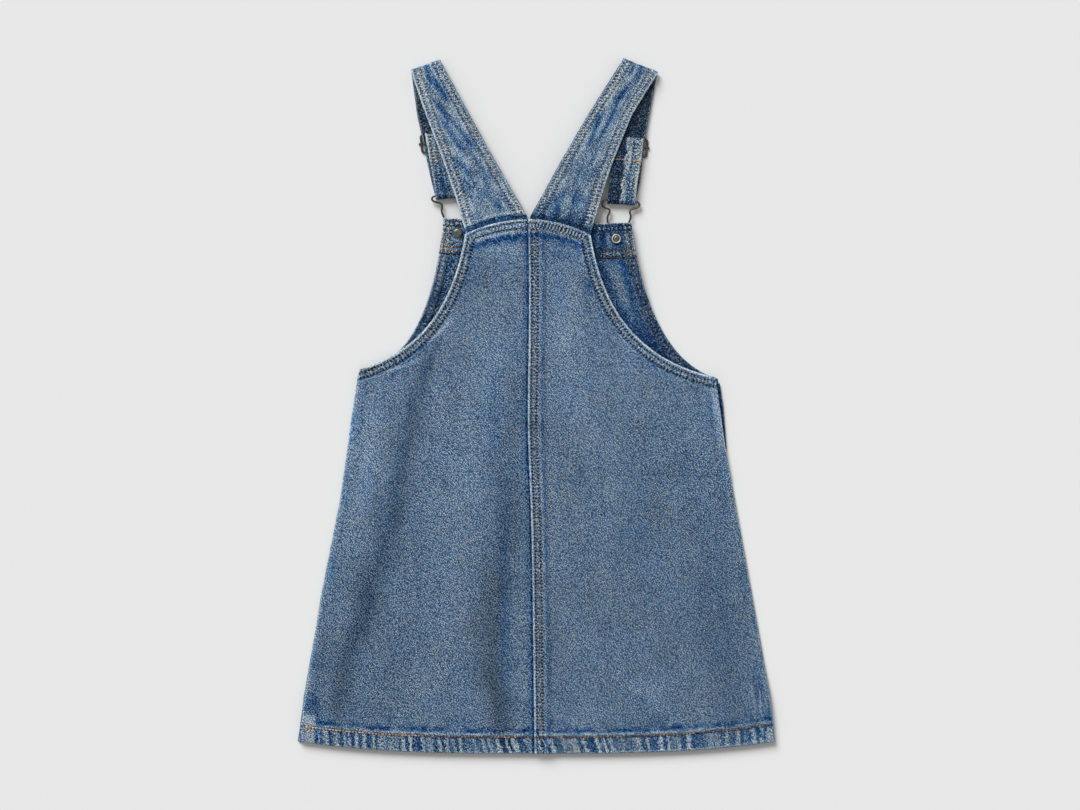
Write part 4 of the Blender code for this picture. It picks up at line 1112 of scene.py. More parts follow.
def makeStrap(side):
    p = strapPiece
    inner, outer, facing, run = strapSheet(side)
    width = np.linalg.norm(outer - inner, axis=1)
    near = edgeSteps[:19]
    rows = []
    for wide in width:
        middle = np.linspace(near[-1], wide - near[-1], p["middleColumns"] + 2)[1:-1]
        rows.append(np.concatenate([near, middle, wide - near[::-1]]))
    across = np.array(rows)
    share = (across / width[:, None])[..., None]
    sheet = mix(inner[:, None], outer[:, None], share)
    x, y = sheet[..., 0], sheet[..., 1]
    edge = np.minimum(across, width[:, None] - across)
    along = np.broadcast_to(run[:, None], edge.shape)
    ends = np.minimum(along, run[-1] - along)
    seed = 200 if side == "left" else 230
    outerEdge = across > width[:, None] / 2
    puckRun = along + p["edgeShift"] * outerEdge
    rope = ripple(puckRun, p["ropePitch"], seed)
    ropeBand = band(edge, 1.0, 9.2, 1.2)
    rowsOf = bumps(edge, p["rows"], 0.6)
    foldAt = [run[np.argmax(facing[:, 2] <= 0)], run[len(run) - np.argmax(facing[::-1, 2] < 0) - 1]]
    onTop, onEnd = along < foldAt[0], along > foldAt[1]
    blue, pale = (
        np.where(onTop, streakField(x, y, top[side]), 0) + np.where(onEnd, streakField(x, y, end[side]), 0)
        for top, end in ((strapBlue, doubledBlue), (strapPale, doubledPale)))
    base = np.where(onTop, topY(x) - y, -90.0)  # how far below the back's top edge
    away = smooth(9.6, 12.0, edge)

    relief = -p["thin"] * away - p["rowDip"] * rowsOf + p["rope"] * rope * ropeBand
    relief = relief + 0.45 * (pale - blue) * away + 0.12 * cloud(x, y, 16.0, seed + 3) * away
    atOuter = np.where(outerEdge, 1.05 if side == "left" else 0.75, 0.25)
    atOuter = np.where(onEnd, 0.8, atOuter)
    worn = atOuter * band(edge, -0.8, 1.5, 0.45) * (0.85 + 0.25 * wander(along / 8, seed + 7))
    worn = worn + 0.42 * ropeBand + (0.1 if side == "left" else 0.0) * smooth(-60.0, -30.0, base) * onTop
    worn += 0.46 * band(edge, 10.2, 12.2, 0.7) * uneven(along / 9, seed + 8, 0.7, 0.5, 1.2)
    worn = worn + 1.35 * pale + 0.12 * uneven(across / 2.4, seed + 9) * away * onTop
    deep = 1.4 * blue
    ragged = 1.3 * wander(x / 2.3, seed + 12) + 0.9 * wander(x / 0.9, seed + 13)
    if side == "left":  # painted shadow at the lip where the strap comes out of the back, and below it
        under = band(base, -4.4, 30.0, 0.7)
        lip = bump(base, -5.0 + 2.0 * smooth(-30.0, -14.0, x) + 0.4 * ragged, 1.0)
        deep = deep + 1.15 * under + 1.5 * lip
        shadow = 0.16 * under + 0.46 * lip
        soot = 1.3 * lip
        worn += 0.35 * band(base + ragged, -9.5, -6.4, 0.8)
    else:
        # painted shadow towards the back's top edge, with streaks of darker blue
        nearBase = smooth(-26.0, -8.0, base)
        deep += 1.15 * band(base + 0.4 * ragged, -5.2, 30.0, 1.0)
        deep += smooth(-24.0, -6.0, base) * uneven(across / 2.2, seed + 10, 0.6, 0.9, 1.1)
        soot = 0.9 * band(base, -6.0, -2.6, 0.8) + 0.5 * nearBase
        shadow = 0.24 * band(base, -5.4, 30.0, 1.0) + 0.14 * nearBase
    soot = soot + 0.6 * ropeBand * band(edge, 2.2, 10.4, 0.9) + 1.0 * rowsOf + 0.32 * away
    grained = cloud(across, along * 0.2, 7.0, seed + 15) * away
    worn += p["streak"] * np.maximum(grained, 0)
    deep += p["streak"] * np.maximum(-grained, 0)
    if side == "right":  # the doubled end's long ridge, and the shade inside it
        crossing = np.where(onEnd, across, -50.0)
        ridge = 13.6 + 1.4 * wander(along / 3.5, 251)
        inShade = band(crossing, -0.6, ridge - 1.6, 0.9)
        deep = deep + 0.8 * inShade + 0.5 * band(crossing, 19.0, 24.0, 1.5)
        soot += 0.6 * inShade
        shadow += 0.4 * inShade
        worn = worn * (1 - 0.7 * inShade) + 0.95 * bump(crossing, ridge, 1.1)
        worn += 0.2 * band(crossing, 15.5, 26.0, 1.5)
        deep += 0.8 * onEnd * smooth(206.0, 202.0, y)
    deep += 0.16 * uneven(across / 2.0 + along / 40, seed + 11) * away * onTop
    deep += 0.45 * (onEnd & (side == "left")) * smooth(245.0, 214.0, y)
    soot = soot + np.where(onEnd, 0.35, 0.0) + np.where(onEnd & ~outerEdge, 0.45, 0.0)
    innerRim = onTop & ~outerEdge
    tone = 1.1 + 0.05 * cloud(x, y, 34.0, seed + 5) - shadow - 0.22 * innerRim * band(edge, -0.8, 1.2, 0.5)
    between = band(edge, 4.6, 8.4, 0.7)
    shadeRoundStitches = along + stitchShape["pitch"] / 2  # the needle holes lie between the stitches, but the dark spots are set on the stitches: painted shade round each thread
    beat = turnsOf(puckRun, p["ropePitch"], seed, 0.25)
    tone = np.where(onEnd, mix(1.0, 0.86, smooth(235.0, 205.0, y)) - shadow, tone)
    marks = {  # of the upper face and of the one below, whose darkness is the cloth's inner side and painted shade
        "worn": (np.clip(worn, 0, 1.4), 1.3 * band(edge, 0.3, 1.5, 0.5)),
        "deep": (np.clip(deep, 0, 1.3), np.full(edge.shape, 0.6)),
        "soot": (np.clip(soot, 0, 1.3), np.full(edge.shape, 1.5)),
        "tone": (tone, np.full(edge.shape, 0.5)),
        "rows": (0.92 * bumps(edge, p["rows"], 1.1), 0.8 * rowsOf), "along": (shadeRoundStitches, shadeRoundStitches),
        "rungs": (0.42 * between * (0.8 + 0.4 * wander(along / 14, seed + 14)), 0.3 * between),
        "beat": (beat, beat),
    }
    half = p["thick"] / 2
    corner = rolled(np.minimum(edge, ends), 0.9)
    lift = half * corner + relief * corner
    drop = half * corner - (0.25 * rowsOf - 0.5 * p["rope"] * rope * ropeBand) * corner
    upper, lower = sheet + lift[..., None] * facing[:, None], sheet - drop[..., None] * facing[:, None]
    grain = np.stack([across, along, np.full(edge.shape, float(seed))], 2)
    strap = shell("strap" + side.title() + "Cloth", upper, lower, marks, grain)
    return strap, (inner, outer, facing, run, width)


strapLine = {}
for side in ("left", "right"):
    pieces["strap_" + side], strapLine[side] = makeStrap(side)
    print("strap", side, len(pieces["strap_" + side].data.polygons), "faces")


# topstitching: short threads, each with its ends down in the cloth

barTacks = {  # across the doubled ends, from x, y to x, y, and how orange
    "left": ((-106.4, 249.6, -97.2, 250.4, 0.42), (-88.6, 251.0, -82.0, 251.5, 0.3)),
    "right": ((96.4, 244.4, 107.2, 243.6, 0.84), (77.6, 245.6, 87.0, 245.0, 0.4)),
}
tackStitch = {"pitch": 0.75, "lean": 0.45, "long": 0.75, "most": 7.4, "up": 0.15}  # no higher than most
# rays that look for a piece: the heights they start from, less a step back, and how far they reach
seek = {"above": 20.0, "below": -2.0, "back": 12.0, "reach": 30.0}


def makeStitch():
    # one stitch along X, which the rows repeat
    p = stitchShape
    bpy.ops.object.select_all(action="DESELECT")
    bpy.ops.mesh.primitive_uv_sphere_add(segments=6, ring_count=6, radius=p["radius"] * mm)
    stitch = bpy.context.object
    bpy.ops.object.mode_set(mode="EDIT")
    bpy.ops.transform.rotate(value=math.pi / 2, orient_axis="Y", center_override=(0, 0, 0))
    bpy.ops.transform.resize(value=(p["length"] / 2 / p["radius"], 1.0, p["flat"]), center_override=(0, 0, 0))
    bpy.ops.mesh.select_all(action="DESELECT")
    bpy.ops.object.mode_set(mode="OBJECT")
    for vertex in stitch.data.vertices:
        vertex.select = abs(vertex.co.x) > p["bentFrom"] * p["length"] * mm
    bpy.ops.object.mode_set(mode="EDIT")
    bpy.ops.transform.translate(value=(0, 0, -p["dip"] * mm))
    bpy.ops.mesh.select_all(action="SELECT")
    bpy.ops.mesh.quads_convert_to_tris()
    bpy.ops.object.mode_set(mode="OBJECT")
    points = np.array([tuple(vertex.co) for vertex in stitch.data.vertices])
    faces = np.array([tuple(face.vertices) for face in stitch.data.polygons])
    bpy.data.objects.remove(stitch)
    return points, faces


def sew(name, spots, seed):
    # spots: rows of place, way along, way up, orangeness and length; one joined mesh
    p = stitchShape
    points, faces = makeStitch()
    random = np.random.default_rng(seed)
    place, ahead, up, hue, long = (np.concatenate(part).astype(float) for part in zip(*spots))
    count = len(place)
    place = place + random.normal(0, p["jitter"], (count, 3)) * (1, 1, p["jitterUp"])
    aside = unit(np.cross(up, ahead))
    ahead = np.cross(aside, up)
    turn = random.normal(0, p["turn"], count)[:, None]
    ahead, aside = ahead * np.cos(turn) + aside * np.sin(turn), aside * np.cos(turn) - ahead * np.sin(turn)
    frames = np.stack([ahead * long[:, None], aside * long[:, None], up], 1)
    moved = points @ frames + place[:, None] * mm
    mesh = bpy.data.meshes.new(name)
    every = faces[None] + len(points) * np.arange(count)[:, None, None]
    mesh.from_pydata(moved.reshape(-1, 3).tolist(), [], every.reshape(-1, 3).tolist())
    mesh.shade_smooth()
    hue = np.clip(hue + random.normal(0, p["hueSpread"], count), 0, 1)
    written(mesh, "hue", "FLOAT", np.repeat(hue, len(points)))
    print(name, count, "stitches")
    return linked(name, mesh)


trees = {}  # one for each piece that is sewn


def landing(key, points, toward):
    # where threads come to lie on a piece when they fall from over these points, the way toward points
    if key not in trees:
        data = pieces[key].data
        trees[key] = BVHTree.FromPolygons(
            [vertex.co for vertex in data.vertices], [face.vertices for face in data.polygons])
    found, kept = [], []
    for index, (point, way) in enumerate(zip(points, toward)):
        way = Vector(way)
        start = Vector(point) * mm - way * (seek["back"] * mm)
        hit, _, _, _ = trees[key].ray_cast(start, way, seek["reach"] * mm)
        if hit is not None:
            found.append(np.array(hit) / mm - np.array(way) * stitchShape["seat"])
            kept.append(index)
    return np.array(found).reshape(-1, 3), np.array(kept, int)


def rowOn(key, flat, ahead, hue, keep=True, up=1.0, scale=1.0):
    # stitches over flat x, y on a piece that lies on the table; up is -1 for its underside
    keep = np.broadcast_to(keep, len(flat))
    if not keep.any():
        return []
    hue, ahead = np.broadcast_to(hue, len(flat))[keep], np.broadcast_to(ahead, flat.shape)[keep]
    flat = flat[keep]
    toward = np.tile((0.0, 0.0, -up), (len(flat), 1))
    start = np.column_stack([flat, np.full(len(flat), seek["below" if up < 0 else "above"])])
    place, kept = landing(key, start, toward)
    if up < 0:  # sunk, because the garment rests on these
        place[:, 2] += stitchShape["under"]
    ahead = np.column_stack([ahead, np.zeros(len(ahead))])[kept]
    return [(place, ahead, -toward[kept], hue[kept], np.full(len(kept), scale))]


def besideEdge(line, side, off, runs):
    # points a steady way in from an armhole's edge, and the way along them
    along = lineLength(line)
    at = lineAt(runs, along, line)
    ahead = unit(lineAt(runs + 0.5, along, line) - at)
    return at + inwardOf(side, ahead) * off, ahead


def pitches(low, high, pitch=None):
    # middles of the stitches whose needle holes lie at whole pitches
    pitch = pitch or stitchShape["pitch"]
    first, last = math.ceil(low / pitch), math.floor(high / pitch)
    return (np.arange(first, last) + 0.5) * pitch


def sewBack():
    p = backPiece
    spots = []
    for side in ("left", "right"):
        key, line = "back_" + side, armholeLine(backArmhole[side])
        for off, armOff in zip(p["rows"], p["armRows"]):
            flat, ahead = besideEdge(line, side, armOff, pitches(12.0, lineLength(line)[-1]))
            top = (topY(flat[:, 0]) - flat[:, 1]) * outline["topSlant"]
            edge = seamX("back" + side.title(), flat[:, 1])
            keep = (top > off) & (np.abs(flat[:, 0]) < np.abs(edge) - 1.2)
            hue = 0.3 + 0.1 * wander(flat[:, 1] / 20, 301)
            spots += rowOn(key, flat, ahead, hue, keep, scale=stitchShape["short"])
            x = pitches(-80.0, 70.0)
            own = x < centreX(185.0) if side == "left" else x > centreX(185.0) + 1.0
            flat = np.stack([x, topY(x) - off / outline["topSlant"]], 1)[own]
            slope = np.stack([np.ones(len(flat)), np.gradient(flat[:, 1]) / np.gradient(flat[:, 0])], 1)
            arm, _ = beside(flat[:, 0], flat[:, 1], line)
            hue = mix(0.22, 0.44, smooth(-30.0, 10.0, flat[:, 0])) + 0.16 * wander(flat[:, 0] / 9, 303)
            spots += rowOn(key, flat, unit(slope), hue, arm > armOff)
        x = pitches(*p["hemEnds"])
        x = x[x < centreX(-330.0) if side == "left" else x > centreX(-330.0)]
        flat = np.stack([x, hemY(x) + p["hemStitch"]], 1)
        ahead = np.stack([np.ones(len(x)), (hemY(x + 1) - hemY(x - 1)) / 2], 1)
        keep = np.abs(x) < np.abs(seamX("back" + side.title(), flat[:, 1])) - 1.0
        hue = 0.27 + 0.34 * (1 - smooth(-215.0, -60.0, x)) + 0.1 * wander(x / 14, 305)
        hemRow = rowOn(key, flat, ahead, hue, keep, scale=stitchShape["long"])
        for place, *_ in hemRow:
            place[:, 2] += p["hemThreadUp"]
        spots += hemRow
    for off, hue in zip(p["seamRows"], p["seamHues"]):
        y = pitches(-344.0, float(topY(-8.0)) - p["rows"][1] - 1.0)
        flat = np.stack([centreX(y) + off, y], 1)
        ahead = np.stack([(centreX(y + 1) - centreX(y - 1)) / 2, np.ones(len(y))], 1)
        keep = y > hemY(flat[:, 0]) + p["hemStitch"] + 1.0
        spots += rowOn("back_right", flat, ahead, hue, keep, scale=stitchShape["short"])
    knot = np.array(p["hemKnot"])
    spots += rowOn("back_left", knot[:, :2], knot[:, 2:], 0.72, scale=stitchShape["short"])
    return sew("backTopstitch", spots, 311)


def sewFront():
    # the rows on the inner side, between the back's armholes and the bib's edges, and those outside
    p, f, t = frontPiece, facingPiece, turnPiece
    inside, outside = [], []
    left, right = frontArmhole["left"][3], frontArmhole["right"][3]
    for side, curve in frontArmhole.items():
        line = armholeLine(curve)
        runs = pitches(12.0, lineLength(line)[-1])
        for off in t["rows"]:
            flat, ahead = besideEdge(line, side, off, runs)
            keep = bibTopY(flat[:, 0]) - flat[:, 1] > f["depth"] + 2.0
            inside += rowOn("turn_" + side, flat, ahead, 0.16, keep)
        for off in f["sideRows"]:
            flat, ahead = besideEdge(line, side, off, runs)
            drop = bibTopY(flat[:, 0]) - flat[:, 1]
            keep = (drop < f["depth"] - 1.0) & (drop > f["topRows"][0])
            inside += rowOn("facing", flat, ahead, 0.08, keep)
        for off in p["rows"]:
            flat, ahead = besideEdge(line, side, off, runs)
            edge = np.abs(seamX("front" + side.title(), flat[:, 1])) - 1.5
            keep = (bibTopY(flat[:, 0]) - flat[:, 1] > off) & (np.abs(flat[:, 0]) < edge)
            outside += rowOn("front", flat, ahead, 0.5, keep, up=-1.0)
    tilt = (1.0, (right[1] - left[1]) / (right[0] - left[0]))
    x = pitches(left[0] - 4.0, right[0] + 4.0)
    for off in f["topRows"] + f["rows"]:
        y = bibTopY(x) - off
        keep = fromSides(x, y)[0] > (f["sideRows"][0] if off < 9 else 1.0)
        hue = np.where(off > 9, mix(0.24, 0.9, smooth(82.0, 88.0, np.abs(x - 3.0))), 0.12)
        inside += rowOn("facing", np.stack([x, y], 1), tilt, hue, keep)
    x = pitches(left[0], right[0])
    for off in p["rows"]:
        y = bibTopY(x) - off
        outside += rowOn("front", np.stack([x, y], 1), (1, 0), 0.5, fromSides(x, y)[0] > off, up=-1.0)
    x = pitches(*backPiece["hemEnds"])
    outside += rowOn("front", np.stack([x, hemY(x) + p["hemStitch"]], 1), (1, 0), 0.5, up=-1.0)
    y = pitches(outline["openingFoot"] + 1.0, outline["openingTop"] - 1.0)
    flat = np.stack([seamX("frontRight", y) - placketPiece["width"] + placketPiece["row"], y], 1)
    inside += rowOn("placket", flat, (-0.1, 1.0), 0.3)
    return sew("frontInsideTopstitch", inside, 321), sew("frontFaceTopstitch", outside, 322)


def sewStrap(side):
    # four rows on both faces of the strap, and the bar tack across its doubled end
    p, t = strapPiece, tackStitch
    inner, outer, facing, run, width = strapLine[side]
    spots = []
    at = pitches(1.0, run[-1] - 1.0)
    first, last, out = (lineAt(at, run, line) for line in (inner, outer, facing))
    out = unit(out)
    wide = np.interp(at, run, width)
    scale = np.full(len(at), stitchShape["short"])
    for off in p["rows"]:
        for share in (off / wide, 1 - off / wide):
            place = mix(first, last, share[:, None])
            for face in (1.0, -1.0):
                landed = place + face * out * (p["thick"] / 2 + stitchShape["seat"] - p["rowDip"])
                hue = 0.27 + 0.1 * wander(at / 17, 331)
                spots.append((landed, unit(np.gradient(place, axis=0)), face * out, hue, scale))
    for ax, ay, bx, by, hue in barTacks[side]:
        count = int(abs(bx - ax) / t["pitch"])
        share = (np.arange(count) + 0.5) / count
        ahead = unit(np.stack([np.full(count, t["lean"]), np.where(np.arange(count) % 2, 1.0, -1.0)], 1))
        toward = np.tile((0.0, 0.0, -1.0), (count, 1))
        start = np.column_stack([mix(ax, bx, share), mix(ay, by, share), np.full(count, seek["above"])])
        landed, kept = landing("strap_" + side, start, toward)
        landed[:, 2] = np.minimum(landed[:, 2], t["most"]) + t["up"]
        ahead = np.column_stack([ahead, np.zeros(count)])[kept]
        spots.append((landed, ahead, -toward[kept], np.full(len(kept), hue), np.full(len(kept), t["long"])))
    return sew("strap" + side.title() + "Topstitch", spots, 340)


pieces["stitch_back"] = sewBack()
pieces["stitch_inside"], pieces["stitch_face"] = sewFront()
pieces["stitch_left"], pieces["stitch_right"] = sewStrap("left"), sewStrap("right")


# hardware

def alone(piece):
    bpy.ops.object.select_all(action="DESELECT")
    bpy.context.view_layer.objects.active = piece
    piece.select_set(True)


def cylinder(count, radius, depth, **place):
    # a new cylinder, chosen alone, its place in its mesh
    bpy.ops.object.select_all(action="DESELECT")
    bpy.ops.mesh.primitive_cylinder_add(vertices=count, radius=radius * mm, depth=depth * mm, **place)
    bpy.ops.object.transform_apply(location=True, rotation=True, scale=True)
    return bpy.context.object


def editFaces(piece, way):
    # into edit mode, with only the faces chosen that look this way
    bpy.ops.object.mode_set(mode="OBJECT")
    for part in (*piece.data.vertices, *piece.data.edges):
        part.select = False
    for face in piece.data.polygons:
        face.select = face.normal @ Vector(way) > 0.9
    bpy.ops.object.mode_set(mode="EDIT")
    bpy.ops.mesh.select_mode(type="FACE")


def extruded(way):
    bpy.ops.mesh.extrude_region_move(TRANSFORM_OT_translate={"value": way})


def insetBy(width, rise=0.0):
    # the chosen face drawn in from its border, and then raised or sunk
    bpy.ops.mesh.inset(thickness=width * mm)
    if rise:
        bpy.ops.transform.translate(value=(0, 0, rise * mm))


def applied(piece, kind, **settings):
    modifier = piece.modifiers.new(kind, kind)
    for label, value in settings.items():
        setattr(modifier, label, value)
    alone(piece)
    bpy.ops.object.modifier_apply(modifier=modifier.name)


def placed(piece, name, matrix):
    # its place goes into its mesh
    piece.data.transform(matrix)
    piece.name = piece.data.name = name
    alone(piece)
    bpy.ops.object.shade_smooth_by_angle(angle=math.radians(38))
    return piece


slidePiece = {
    "width": 36.0, "height": 19.5, "bar": 2.3, "thick": 1.8, "corner": 3.2, "round": 0.6,
    "middle": 0.85, "knob": 1.35,
    "left": (-98.2, 263.0, 6.0), "right": (93.4, 258.4, -4.0),
}


def makeSlide(side):
    # a rounded wire frame with a loose bar across its middle, whose ends are headed over
    p = slidePiece
    bpy.ops.object.select_all(action="DESELECT")
    bpy.ops.mesh.primitive_plane_add(size=mm, location=(0, 0, 0))
    slide = bpy.context.object
    bpy.ops.object.mode_set(mode="EDIT")
    bpy.ops.mesh.select_all(action="SELECT")
    bpy.ops.transform.resize(value=(p["width"], p["height"], 1.0), center_override=(0, 0, 0))
    bpy.ops.mesh.bevel(offset=p["corner"] * mm, segments=5, affect="VERTICES")
    bpy.ops.mesh.select_all(action="SELECT")
    insetBy(p["bar"])
    bpy.ops.mesh.delete(type="FACE")
    bpy.ops.object.mode_set(mode="OBJECT")
    applied(slide, "SOLIDIFY", thickness=p["thick"] * mm, offset=0.0)
    applied(slide, "BEVEL", width=p["round"] * mm, segments=3, limit_method="ANGLE")
    bar = cylinder(20, p["middle"], p["width"] + 0.6, rotation=(0, math.pi / 2, 0))
    grow = p["knob"] / p["middle"]
    for sign in (-1.0, 1.0):
        editFaces(bar, (sign, 0, 0))
        end = (sign * (p["width"] / 2 + 0.3) * mm, 0, 0)
        extruded((sign * 0.25 * mm, 0, 0))
        bpy.ops.transform.resize(value=(1.0, grow, grow), center_override=end)
        extruded((sign * 0.65 * mm, 0, 0))
        extruded((sign * 0.3 * mm, 0, 0))
        bpy.ops.transform.resize(value=(1.0, 0.55, 0.55), center_override=end)
        bpy.ops.object.mode_set(mode="OBJECT")
    applied(bar, "BEVEL", width=0.15 * mm, segments=2, limit_method="ANGLE")
    slide.select_set(True)
    bpy.context.view_layer.objects.active = slide
    bpy.ops.object.join()
    x, y, turn = p[side]
    move = Matrix.Translation((x * mm, y * mm, p["thick"] / 2 * mm))
    move = move @ Matrix.Rotation(math.radians(turn), 4, "Z")
    return placed(slide, "slide" + side.title() + "Frame", move)


hookPiece = {
    "wire": 2.0, "level": 3.9, "neck": 4.9, "hold": 3.5,
    "half": (  # half width at shares of the way from the button to the bar
        (4.9, 0.04), (5.7, 0.16), (9.2, 0.34), (11.0, 0.47), (11.5, 0.60), (10.2, 0.70), (10.6, 0.765),
        (14.6, 0.815), (17.9, 0.865), (18.5, 0.93), (16.9, 0.99),
    ),
    "button": {"left": (-78.5, 171.9), "right": (79.5, 166.3)},
}


def hookLine(side):
    # the wire's middle line: round the button's neck, up both arms, and across inside the strap's fold
    p = hookPiece
    ends = np.array(strapLie[side]["hook"]).reshape(2, 2)
    ends = ends[np.argsort(ends[:, 0])]
    across = (ends[1] - ends[0]) / np.linalg.norm(ends[1] - ends[0])
    above = np.array([-across[1], across[0]])
    button = np.array(p["button"][side])
    top = ends.mean(0) + above * p["hold"]
    axis = top - button
    arms = {}
    for sign in (-1.0, 1.0):
        points = []
        for half, share in p["half"]:
            level = np.array([1.0, 0.0])
            tilt = mix(level, across, smooth(0.8, 0.95, share))
            points.append(button + axis * share + tilt * half * sign)
        arms[sign] = points
    bend = np.linspace(math.pi, math.tau, 7)[1:-1]
    neck = [button + p["neck"] * np.array([math.cos(turn), math.sin(turn)]) for turn in bend]
    bar = [top + across * reach for reach in (13.5, 9.0, 0.0, -9.0, -13.5)]
    line = neck + arms[1.0] + bar + arms[-1.0][::-1]
    return np.column_stack([np.array(line), np.full(len(line), p["level"])])


def makeHook(side):
    line = hookLine(side)
    wire = bpy.data.curves.new("wire", "CURVE")
    wire.dimensions = "3D"
    wire.bevel_depth = hookPiece["wire"] / 2 * mm
    wire.bevel_resolution = 4
    wire.resolution_u = 6
    spline = wire.splines.new("BEZIER")
    spline.bezier_points.add(len(line) - 1)
    for point, place in zip(spline.bezier_points, line):
        point.co = Vector(place) * mm
        point.handle_left_type = point.handle_right_type = "AUTO"
    spline.use_cyclic_u = True
    alone(linked("hook", wire))
    bpy.ops.object.convert(target="MESH")
    return placed(bpy.context.object, "hook" + side.title() + "Wire", Matrix.Identity(4))


buttonPiece = {
    "radius": 8.5, "head": 2.4, "neck": 3.5, "rim": 1.1, "rimDepth": 0.35,
    "dish": ((1.4, -0.1), (1.8, -0.06), (2.0, -0.03)),  # steps inwards over the face, and how each rises
}


def makeButton(side):
    # head down on the table, its neck up through the hook to the bib
    p = buttonPiece
    low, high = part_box("button_" + side)
    button = cylinder(48, p["radius"], p["head"], location=(0, 0, p["head"] / 2 * mm))
    editFaces(button, (0, 0, 1))
    insetBy(p["radius"] - p["neck"] - 0.6)
    extruded((0, 0, 0.3 * mm))
    bpy.ops.transform.resize(value=(0.86, 0.86, 1.0), center_override=(0, 0, 0))
    extruded((0, 0, high[2] - (p["head"] + 0.3) * mm))
    editFaces(button, (0, 0, -1))
    insetBy(p["rim"])
    extruded((0, 0, p["rimDepth"] * mm))
    for width, rise in p["dish"]:
        insetBy(width, rise)
    bpy.ops.object.mode_set(mode="OBJECT")
    applied(button, "BEVEL", width=0.22 * mm, segments=3, limit_method="ANGLE", angle_limit=math.radians(50))
    place = Matrix.Translation(((low[0] + high[0]) / 2, (low[1] + high[1]) / 2, 0))
    return placed(button, "button" + side.title() + "Head", place)


tackPiece = {
    "radius": 4.6, "ring": 1.35, "ringUp": 0.55, "hollow": 0.95, "dot": 1.9, "pin": 0.8,
    "dome": ((0.25, 0.35), (0.5, 0.33), (0.8, 0.24), (1.0, 0.13), (1.0, 0.05)),
}


def makeTack(side):
    # the rivet's back: domed at the left, and at the right a ring round a hollow with the pin's end in it
    p = tackPiece
    low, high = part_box("tack_" + side)
    tack = cylinder(40, p["radius"], 0.6, location=(0, 0, 0.3 * mm))
    editFaces(tack, (0, 0, 1))
    steps = p["dome"]
    if side == "right":
        extruded((0, 0, p["ringUp"] * mm))
        floor = p["radius"] - p["ring"] - p["dot"] - 0.3
        steps = ((0.3, 0.45), (p["ring"] - 0.6, 0), (0.3, -p["hollow"]), (floor, 0), (0.2, 0.5), (0.35, 0.15))
    for width, rise in steps:
        insetBy(width, rise)
    bpy.ops.object.mode_set(mode="OBJECT")
    applied(tack, "BEVEL", width=0.14 * mm, segments=2, limit_method="ANGLE", angle_limit=math.radians(40))
    place = Matrix.Translation(((low[0] + high[0]) / 2, (low[1] + high[1]) / 2, low[2]))
    return placed(tack, "tack" + side.title() + "Cap", place)


for side in ("left", "right"):
    pieces["slide_" + side] = makeSlide(side)
    pieces["hook_" + side] = makeHook(side)
    pieces["button_" + side] = makeButton(side)
    pieces["tack_" + side] = makeTack(side)
    print("hardware", side)


# finishes

def dye(red, green, blue):
    # a colour as a paint chart gives it, from 0 to 255, as the shader wants it
    parts = np.array([red, green, blue]) / 255.0
    return (*np.where(parts <= 0.04045, parts / 12.92, ((parts + 0.055) / 1.055) ** 2.4).tolist(), 1.0)


class Amount:
    # a number that changes over the surface; sums and products of these add their own Math nodes
    def __init__(self, finish, socket):
        self.finish, self.socket = finish, socket

    def maths(self, operation, other=None, turned=False, clamp=False):
        pair = [self] if other is None else [other, self] if turned else [self, other]
        settings = {"operation": operation, "use_clamp": clamp}
        return self.finish.add("ShaderNodeMath", settings, dict(enumerate(pair))).out("Value")

    def __add__(self, other):
        return self.maths("ADD", other)

    def __sub__(self, other):
        return self.maths("SUBTRACT", other)

    def __rsub__(self, other):
        return self.maths("SUBTRACT", other, turned=True)

    def __mul__(self, other):
        return self.maths("MULTIPLY", other)

    def __truediv__(self, other):
        return self.maths("DIVIDE", other)

    def __pow__(self, other):
        return self.maths("POWER", other)

    def __lt__(self, other):
        return self.maths("LESS_THAN", other)

    __radd__, __rmul__ = __add__, __mul__

    def whole(self):
        return self.maths("FLOOR")

    def rest(self):
        return self.maths("FRACT")

    def wave(self):
        return self.maths("COSINE")

    def clamped(self):
        return self.maths("ADD", 0.0, clamp=True)

    def atLeast(self, other):
        return self.maths("MAXIMUM", other)


class Node:
    def __init__(self, finish, node):
        self.finish, self.node = finish, node

    def out(self, name):
        return Amount(self.finish, self.node.outputs[name])


